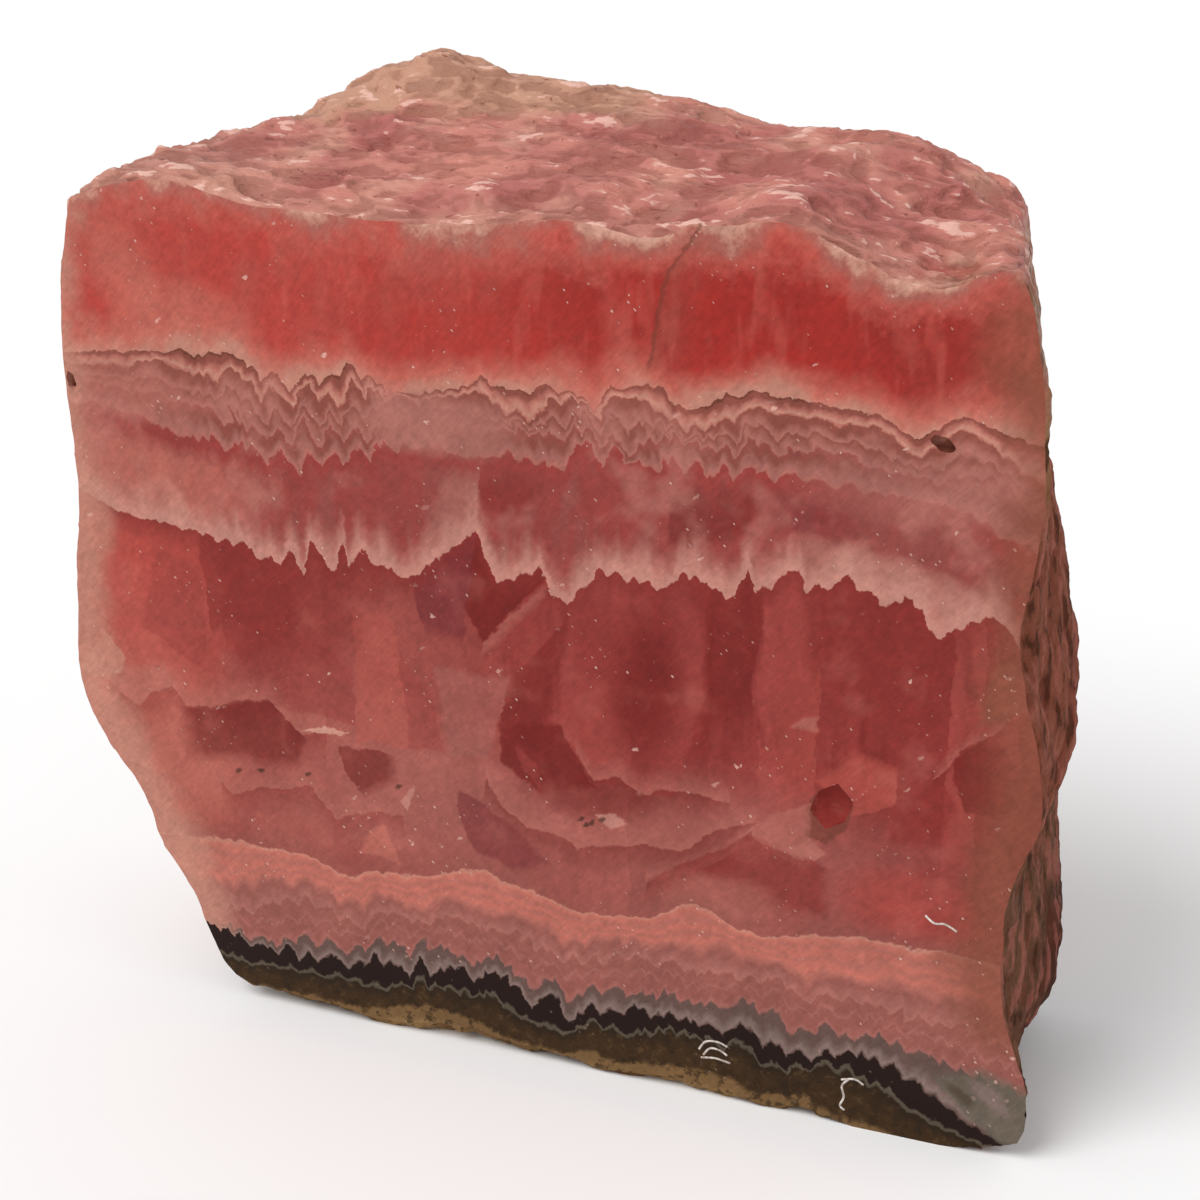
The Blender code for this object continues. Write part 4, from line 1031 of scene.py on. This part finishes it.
@dataclass(frozen=True)
class BrokenFinish:
    """The broken rim: dull, flaky on the top with painted highlights and painted shade, brown on the right side and
    dark below.
    """

    name: str
    bands: bpy.types.NodeTree
    gloss: float = 0.2
    roughness: tuple[float, float] = (0.6, 0.36)

    def material(self) -> bpy.types.Material:
        """Builds the finish.

        Returns:
            The material.
        """
        made, w, shader = principled(self.name, self.gloss)
        point = stone_point(w)
        bands = w.group(self.bands, Point=point)
        x, y, z = w.split(point)
        lift = w.add("ShaderNodeAttribute", attribute_name="lift").outputs["Fac"]
        flake = w.soft_noise(w.vector("MULTIPLY", point, (0.5, 1.5, 1.6)), 1.0, 3.0)
        blot, stain, speck = w.split(w.noise(point, 0.13, 3.0))

        colour = self.top(w, x, y, z, bands.outputs["Colour"], blot, speck)
        colour = self.right(w, x, y, z, colour, stain)
        colour = self.left(w, x, z, colour, blot)
        # Painted highlight: the raised flakes on the top are paler, as if their edges catch the light.
        flake_highlight = w.reach(w.math("MULTIPLY_ADD", lift, 0.22, flake), 0.06, 0.16)
        on_top = w.reach(z, 72.0, 77.0, 0.0, 0.7)
        colour = w.mix(w.math("MULTIPLY", flake_highlight, on_top), colour, Tone.FLAKE_GLINT.value)
        # Painted shade: darker brown in the low hollows between the flakes.
        hollow_shade = w.reach(w.math("MULTIPLY_ADD", flake, 1.5, lift), -0.8, -0.3, 0.35, 0.0)
        colour = w.mix(hollow_shade, colour, Tone.BROWN_LINE.value)
        w.put(shader.inputs["Base Color"], colour)
        w.put(shader.inputs["Roughness"], w.reach(flake, -0.2, 0.2, *self.roughness))
        bump = w.add("ShaderNodeBump")
        w.put(bump.inputs["Strength"], 0.8)
        w.put(bump.inputs["Distance"], 0.0005)
        w.put(bump.inputs["Height"], flake)
        w.put(shader.inputs["Normal"], bump.outputs[0])
        return made

    def top(self, w: Wiring, x: Socket, y: Socket, z: Socket, under: Socket, blot: Socket, speck: Socket) -> Socket:
        """Mauve rubble with cream patches, and the tan hump behind it."""
        colour = w.mix(w.reach(blot, -0.15, 0.15), Tone.TOP_ROSE.value, Tone.TOP_MAUVE.value)
        colour = w.mix(w.reach(speck, 0.0, 0.2, 0.0, 0.6), colour, Tone.TOP_MAUVE.value)
        colour = w.mix(w.reach(speck, 0.0, -0.2, 0.0, 0.6), colour, Tone.TOP_PALE.value)
        behind = w.reach(w.math("MULTIPLY_ADD", blot, 8.0, y), 3.0, 5.0)
        leftward = w.reach(x, 0.0, 6.0, 1.0, 0.0)
        colour = w.mix(w.math("MULTIPLY", behind, leftward), colour, Tone.HUMP.value)
        cream = w.math("MULTIPLY", w.reach(x, -26.0, -21.0, 1.0, 0.0), w.reach(y, 0.0, -6.0))
        colour = w.mix(w.math("MULTIPLY", cream, 0.25), colour, Tone.CREAM.value)
        near_front = w.reach(w.math("MULTIPLY_ADD", speck, 5.0, y), -12.0, -9.0, 0.5, 0.0)
        colour = w.mix(near_front, colour, Tone.PEACH.value)
        grit = w.noise(w.join(x, y, z), 1.1, 2.0)
        colour = w.mix(w.reach(w.split(grit)[0], 0.16, 0.24, 0.0, 0.7), colour, Tone.ROSE_BROWN.value)
        return w.mix(w.reach(w.math("MULTIPLY_ADD", blot, 4.0, z), 74.6, 76.2), under, colour)

    def right(self, w: Wiring, x: Socket, y: Socket, z: Socket, under: Socket, stain: Socket) -> Socket:
        """Brownish rose, grey-brown low down and nearly black at the foot."""
        height = w.math("MULTIPLY_ADD", stain, 16.0, z)
        side = w.mix(w.reach(height, 26.0, 32.0), Tone.GREY_BROWN.value, Tone.SIDE.value)
        low = w.math("MULTIPLY", w.reach(height, 20.0, 13.0), w.reach(y, -6.0, 4.0))
        side = w.mix(w.math("MULTIPLY", low, 0.9), side, Tone.BLACK.value)
        side = w.mix(w.reach(z, 52.0, 64.0, 0.0, 0.7), side, Tone.PALE_TAN.value)
        splinters = w.soft_noise(w.join(w.math("MULTIPLY", x, 1.2), y, w.math("MULTIPLY", z, 0.35)), 0.8, 4.0)
        side = w.mix(w.reach(splinters, 0.0, 0.12, 0.0, 0.6), side, Tone.DUSKY_PEACH.value)
        side = w.mix(w.reach(splinters, -0.02, -0.14, 0.0, 0.8), side, Tone.DEEP_BROWN.value)
        share = w.math("MULTIPLY", w.reach(x, 32.0, 38.0), w.reach(z, 76.5, 74.5))
        return w.mix(w.math("MULTIPLY", share, 0.85), under, side)

    def left(self, w: Wiring, x: Socket, z: Socket, under: Socket, blot: Socket) -> Socket:
        """A painted glow on the left side, paler where light comes through the stone."""
        share = w.reach(w.math("MULTIPLY_ADD", blot, 10.0, x), -26.0, -40.0, 0.0, 0.7)
        share = w.math("MULTIPLY", share, w.reach(z, 7.0, 10.0))
        return w.mix(share, under, Tone.PEACH.value)


def principled(name: str, gloss: float) -> tuple[bpy.types.Material, Wiring, bpy.types.Node]:
    """Starts a material.

    Args:
        name: the material's name.
        gloss: its specular level, 0.5 for plain glass.

    Returns:
        The material, its wiring and its Principled node.
    """
    made = bpy.data.materials.new(name)
    made.use_nodes = True
    shader = made.node_tree.nodes["Principled BSDF"]
    shader.inputs["Specular IOR Level"].default_value = gloss
    return made, Wiring(made.node_tree), shader


def stone_point(w: Wiring) -> Socket:
    """Gives the place on the stone in millimetres, in the frame in which the bands are drawn."""
    place = w.add("ShaderNodeMapping")
    w.put(place.inputs["Vector"], w.add("ShaderNodeTexCoord").outputs["Object"])
    w.put(place.inputs["Location"], (DRAWN_MIDDLE_X, 0.0, 0.0))
    w.put(place.inputs["Scale"], (1 / MM, 1 / MM, 1 / MM))
    return place.outputs[0]


@dataclass
class StoneBody:
    """The slice's surface, worked up from the frame's solid. Sizes are in millimetres."""

    cuts: int = 3
    smoothing: int = 2
    flat_within: float = 0.02
    flake_relief: float = 0.34
    splinter_relief: float = 0.30
    crumb_relief: float = 0.12
    edge_share: float = 0.35
    shape: bmesh.types.BMesh = field(default_factory=bmesh.new)

    def build(self) -> bpy.types.Object:
        """Makes the finished surface.

        Returns:
            The stone.
        """
        self.take_solid()
        self.open_cut_faces()
        self.refine()
        self.splinter()
        self.close_cut_faces()
        return self.finish()

    def take_solid(self) -> None:
        """Copies the frame's solid, in millimetres, with its points merged."""
        self.shape.from_mesh(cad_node(NODE).data)
        bmesh.ops.remove_doubles(self.shape, verts=self.shape.verts, dist=1e-6)
        bmesh.ops.scale(self.shape, vec=(1 / MM, 1 / MM, 1 / MM), verts=self.shape.verts)
        self.shape.normal_update()

    def is_cut(self, part: bmesh.types.BMFace | bmesh.types.BMEdge) -> bool:
        """Tells whether a face or an edge lies in the cut front or in the cut back."""
        ys = [v.co.y for v in part.verts]
        return max(ys) < FRONT_Y + self.flat_within or min(ys) > BACK_Y - self.flat_within

    def open_cut_faces(self) -> None:
        """Takes off the two cut faces, so that only the rim and the foot are cut finer."""
        bmesh.ops.delete(self.shape, geom=[f for f in self.shape.faces if self.is_cut(f)], context="FACES")

    def refine(self) -> None:
        """Cuts the rim finer and softens the solid's facets, with the open rims held."""
        bmesh.ops.subdivide_edges(self.shape, edges=self.shape.edges, cuts=self.cuts, use_grid_fill=True)
        for _ in range(self.smoothing):
            inner = [v for v in self.shape.verts if not v.is_boundary]
            bmesh.ops.smooth_vert(
                self.shape, verts=inner, factor=0.5, use_axis_x=True, use_axis_y=True, use_axis_z=True
            )
        self.shape.normal_update()

    def relief(self, at: Vector, out: Vector) -> float:
        """Gives how far the surface stands out at a point.

        Args:
            at: the point.
            out: the way that the surface faces there.

        Returns:
            The height, mostly below 0 so that the stone stays inside its solid's box.
        """
        up = smoothstep(0.3, 0.8, out.z)
        flakes = self.cells(Vector((at.x / 4.2, at.y / 1.9, at.z / 2.0)), Vector((0.3, -0.8, 0.5)))
        small = self.cells(Vector((at.x / 1.9, at.y / 0.95, at.z / 1.1)), Vector((0.2, -0.8, 0.4)))
        columns = self.cells(Vector((at.x / 2.0, at.y / 2.0, at.z / 5.0)), Vector((0.3, 0.7, 0.3)))
        height = up * self.flake_relief * (flakes + 0.5 * small)
        height += (1 - up) * self.splinter_relief * columns
        return height + self.crumb_relief * noise.fractal(at * 0.9, 0.7, 2.2, 3)

    def cells(self, at: Vector, slope: Vector) -> float:
        """Gives tilted plates, each with its own height."""
        distances, middles = noise.voronoi(at)
        plate = noise.cell(middles[0] * 7.3) - 0.5
        edge = smoothstep(0.0, 0.22, distances[1] - distances[0])
        return (plate + (at - middles[0]).dot(slope)) * edge - 0.25 * (1 - edge)

    def splinter(self) -> None:
        """Moves the rim's points out and in, and keeps the open rims in their planes."""
        lift = self.shape.verts.layers.float.new("lift")
        low = Vector(CAD_BOX[0]) / MM
        high = Vector(CAD_BOX[1]) / MM
        moves = {}
        for vert in self.shape.verts:
            out = vert.normal.copy()
            share = 1.0
            if vert.is_boundary:
                share = self.edge_share
                out.y = 0.0
            if vert.co.z < self.flat_within:
                share = self.edge_share
                out.z = 0.0
            height = self.relief(vert.co, vert.normal)
            vert[lift] = height / self.flake_relief
            moves[vert] = out * (height - 0.05) * share
        for vert, move in moves.items():
            vert.co += move
            for axis in range(3):
                vert.co[axis] = min(max(vert.co[axis], low[axis]), high[axis])

    def close_cut_faces(self) -> None:
        """Fills the two cut faces flat again, and parts the front between its zones."""
        for face in self.shape.faces:
            face.material_index = self.rim_slot(face.calc_center_median())
            face.smooth = True
        rims = [e for e in self.shape.edges if e.is_boundary]
        for edge in rims:
            edge.smooth = False
        for side in (-1.0, 1.0):
            loop = [e for e in rims if e.verts[0].co.y * side > 0]
            filled = bmesh.ops.triangle_fill(self.shape, edges=loop, use_beauty=True, normal=(0.0, side, 0.0))
            for face in (g for g in filled["geom"] if isinstance(g, bmesh.types.BMFace)):
                face.material_index = ZONES.index(BACK)
                face.smooth = False
        bmesh.ops.recalc_face_normals(self.shape, faces=self.shape.faces)
        borders = [((0, 0, z), (0, 0, 1)) for z in ROWS[1:-1]]
        borders += [((x - DRAWN_MIDDLE_X, 0, 0), (1, 0, 0)) for x in COLUMNS[1:-1]]
        for place, normal in borders:
            front = [f for f in self.shape.faces if self.is_cut(f) and f.calc_center_median().y < 0]
            parts = {part for f in front for part in (f, *f.edges, *f.verts)}
            bmesh.ops.bisect_plane(self.shape, geom=list(parts), dist=1e-4, plane_co=place, plane_no=normal)
        for face in self.shape.faces:
            if self.is_cut(face) and face.calc_center_median().y < 0:
                face.material_index = self.front_slot(face.calc_center_median())

    def rim_slot(self, at: Vector) -> int:
        """Gives the slot of the rim's finish at a point."""
        return ZONES.index(RIM_TOP if at.z > RIM_TOP_FOOT else RIM_LOW)

    def front_slot(self, at: Vector) -> int:
        """Gives the slot of the cut front's finish at a point."""
        place = (at.x + DRAWN_MIDDLE_X, at.z)
        return next(
            slot for slot, zone in enumerate(FRONT)
            if all(low <= value < high for low, value, high in zip(zone.low, place, zone.high))
        )

    def finish(self) -> bpy.types.Object:
        """Puts the shape in an object, in metres, with its finishes."""
        open_edges = sum(not e.is_manifold for e in self.shape.edges)
        LOG.info("stone: %d faces, %d open edges", len(self.shape.faces), open_edges)
        bmesh.ops.scale(self.shape, vec=(MM, MM, MM), verts=self.shape.verts)
        mesh = bpy.data.meshes.new("stone")
        self.shape.to_mesh(mesh)
        self.shape.free()
        glint_flecks = glint_fleck_group()
        for zone in ZONES:
            mesh.materials.append(self.zone_finish(zone, glint_flecks).material())
        stone = bpy.data.objects.new("stone", mesh)
        bpy.context.scene.collection.objects.link(stone)
        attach(stone, "root")
        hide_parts(NODE)
        return stone

    def zone_finish(self, zone: Zone, glint_flecks: bpy.types.NodeTree) -> CutFinish | BrokenFinish:
        """Gives a zone's finish: polished where it is cut, flaky on the top and dull on the sides."""
        bands = GrowthBands(zone).group()
        if zone.cut:
            return CutFinish(zone.name, bands, glint_flecks)
        if zone is RIM_TOP:
            return BrokenFinish(zone.name, bands)
        return BrokenFinish(zone.name, bands, gloss=0.08, roughness=(0.95, 0.75))


@dataclass(frozen=True)
class LintFinish:
    """White lint, with painted grey shade laid over it by noise."""

    name: str = "white lint"
    roughness: float = 0.9

    def material(self) -> bpy.types.Material:
        """Builds the finish.

        Returns:
            The material.
        """
        made, w, shader = principled(self.name, 0.1)
        shade = w.soft_noise(stone_point(w), 2.5, 2.0)
        colour = w.mix(w.reach(shade, -0.15, 0.15), Tone.LINT.value, Tone.LINT_SHADE.value)
        w.put(shader.inputs["Base Color"], colour)
        w.put(shader.inputs["Roughness"], self.roughness)
        return made


@dataclass
class LintWisps:
    """Three wisps of fine white threads on the cut front, half sunk in it. Sizes are in millimetres."""

    threads: tuple[Places, ...] = (
        ((15.3, 4.6), (15.9, 5.5), (17.0, 5.7), (17.9, 5.4)),
        ((15.7, 4.1), (16.3, 4.9), (17.2, 4.9), (17.9, 4.5)),
        ((15.5, 3.8), (16.8, 4.0), (18.2, 3.8)),
        ((28.9, 4.7), (28.3, 3.9), (28.5, 2.8), (28.2, 1.9), (28.6, 1.5)),
        ((28.2, 4.5), (29.4, 4.8), (30.2, 4.4)),
        ((34.7, 21.9), (35.5, 21.3), (36.4, 21.4), (37.4, 20.9)),
    )
    radius: float = 0.11
    sunk: float = 0.04
    sides: int = 6
    steps: int = 6

    def build(self) -> bpy.types.Object:
        """Makes the threads.

        Returns:
            The lint.
        """
        shape = bmesh.new()
        for thread in self.threads:
            self.sweep(shape, self.curved(thread))
        bmesh.ops.recalc_face_normals(shape, faces=shape.faces)
        bmesh.ops.scale(shape, vec=(MM, MM, MM), verts=shape.verts)
        for face in shape.faces:
            face.smooth = True
        mesh = bpy.data.meshes.new("lint_wisps")
        shape.to_mesh(mesh)
        shape.free()
        mesh.materials.append(LintFinish().material())
        lint = bpy.data.objects.new("lint_wisps", mesh)
        bpy.context.scene.collection.objects.link(lint)
        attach(lint, "root")
        return lint

    def curved(self, thread: Places) -> list[Vector]:
        """Gives the places along a thread, rounded between its drawn points."""
        drawn = [Vector((x - DRAWN_MIDDLE_X, FRONT_Y + self.sunk, z)) for x, z in thread]
        ends = [drawn[0], *drawn, drawn[-1]]
        places = []
        for before, start, end, after in zip(ends, ends[1:], ends[2:], ends[3:]):
            for step in range(self.steps):
                t = step / self.steps
                bend = (2 * before - 5 * start + 4 * end - after) * t * t
                twist = (3 * start - before - 3 * end + after) * t ** 3
                places.append(start + 0.5 * ((end - before) * t + bend + twist))
        return [*places, drawn[-1]]

    def sweep(self, shape: bmesh.types.BMesh, places: list[Vector]) -> None:
        """Draws a round thread along the places.

        Args:
            shape: the mesh that it goes in.
            places: the middle of the thread, from end to end.
        """
        ways = [(b - a).normalized() for a, b in zip([places[0], *places], [*places[1:], places[-1]])]
        circle = bmesh.ops.create_circle(shape, cap_ends=True, segments=self.sides, radius=self.radius)
        ring = circle["verts"]
        tip = next(face for face in ring[0].link_faces)
        turn = Vector((0.0, 0.0, 1.0)).rotation_difference(ways[0]).to_matrix()
        bmesh.ops.rotate(shape, verts=ring, cent=(0.0, 0.0, 0.0), matrix=turn)
        bmesh.ops.translate(shape, verts=ring, vec=places[0])
        for before, after, way, next_way in zip(places, places[1:], ways, ways[1:]):
            grown = bmesh.ops.extrude_face_region(shape, geom=[tip])["geom"]
            tip = next(part for part in grown if isinstance(part, bmesh.types.BMFace))
            turn = way.rotation_difference(next_way).to_matrix()
            bmesh.ops.rotate(shape, verts=tip.verts, cent=before, matrix=turn)
            bmesh.ops.translate(shape, verts=tip.verts, vec=after - before)


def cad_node(name: str) -> bpy.types.Object:
    """Gives the object of a node of the frame."""
    return bpy.data.objects[name]


@dataclass
class Studio:
    """A pale floor, soft light and the camera. Lengths are in metres."""

    eye: tuple[float, float, float] = (0.07258, -0.18421, 0.12008)
    yaw: float = 21.0
    pitch: float = 22.0
    lens: float = 72.0
    floor_size: float = 6.0
    sky: float = 0.66
    key: float = 1.75

    def build(self) -> bpy.types.Object:
        """Sets up the camera, the lights and the floor.

        Returns:
            The floor.
        """
        self.camera()
        self.lights()
        return self.floor()

    def camera(self) -> None:
        """Looks at the stone from the right and from above."""
        data = bpy.data.cameras.new("camera")
        data.lens = self.lens
        data.sensor_width = 36.0
        data.clip_start = 0.01
        camera = bpy.data.objects.new("camera", data)
        bpy.context.scene.collection.objects.link(camera)
        camera.location = self.eye
        yaw, pitch = math.radians(self.yaw), math.radians(self.pitch)
        ahead = Vector((-math.sin(yaw) * math.cos(pitch), math.cos(yaw) * math.cos(pitch), -math.sin(pitch)))
        camera.rotation_euler = ahead.to_track_quat("-Z", "Y").to_euler()
        bpy.context.scene.camera = camera

    def lights(self) -> None:
        """A white sky, and one broad key light from the upper left in front."""
        world = bpy.data.worlds.new("studio")
        world.use_nodes = True
        sky = world.node_tree.nodes["Background"]
        sky.inputs["Color"].default_value = (1.0, 1.0, 1.0, 1.0)
        sky.inputs["Strength"].default_value = self.sky
        bpy.context.scene.world = world
        data = bpy.data.lights.new("key", "SUN")
        data.energy = self.key
        data.angle = math.radians(35.0)
        key = bpy.data.objects.new("key", data)
        key.rotation_euler = Vector((0.55, 0.75, -1.15)).to_track_quat("-Z", "Y").to_euler()
        bpy.context.scene.collection.objects.link(key)
        bpy.context.scene.view_settings.view_transform = "Standard"

    def floor(self) -> bpy.types.Object:
        """A plain pale floor."""
        shape = bmesh.new()
        bmesh.ops.create_grid(shape, x_segments=1, y_segments=1, size=self.floor_size / 2)
        mesh = bpy.data.meshes.new("floor")
        shape.to_mesh(mesh)
        shape.free()
        made, _, shader = principled("pale floor", 0.3)
        shader.inputs["Base Color"].default_value = (0.94, 0.94, 0.94, 1.0)
        shader.inputs["Roughness"].default_value = 0.9
        mesh.materials.append(made)
        floor = bpy.data.objects.new("floor", mesh)
        bpy.context.scene.collection.objects.link(floor)
        return floor


def main() -> None:
    """Builds the stone, the lint on it and the studio."""
    logging.basicConfig(level=logging.INFO)
    stone = StoneBody().build()
    LOG.info("built %s", stone.name)
    lint = LintWisps().build()
    LOG.info("built %s", lint.name)
    floor = Studio().build()
    LOG.info("built %s", floor.name)


if __name__ == "__main__":
    main()
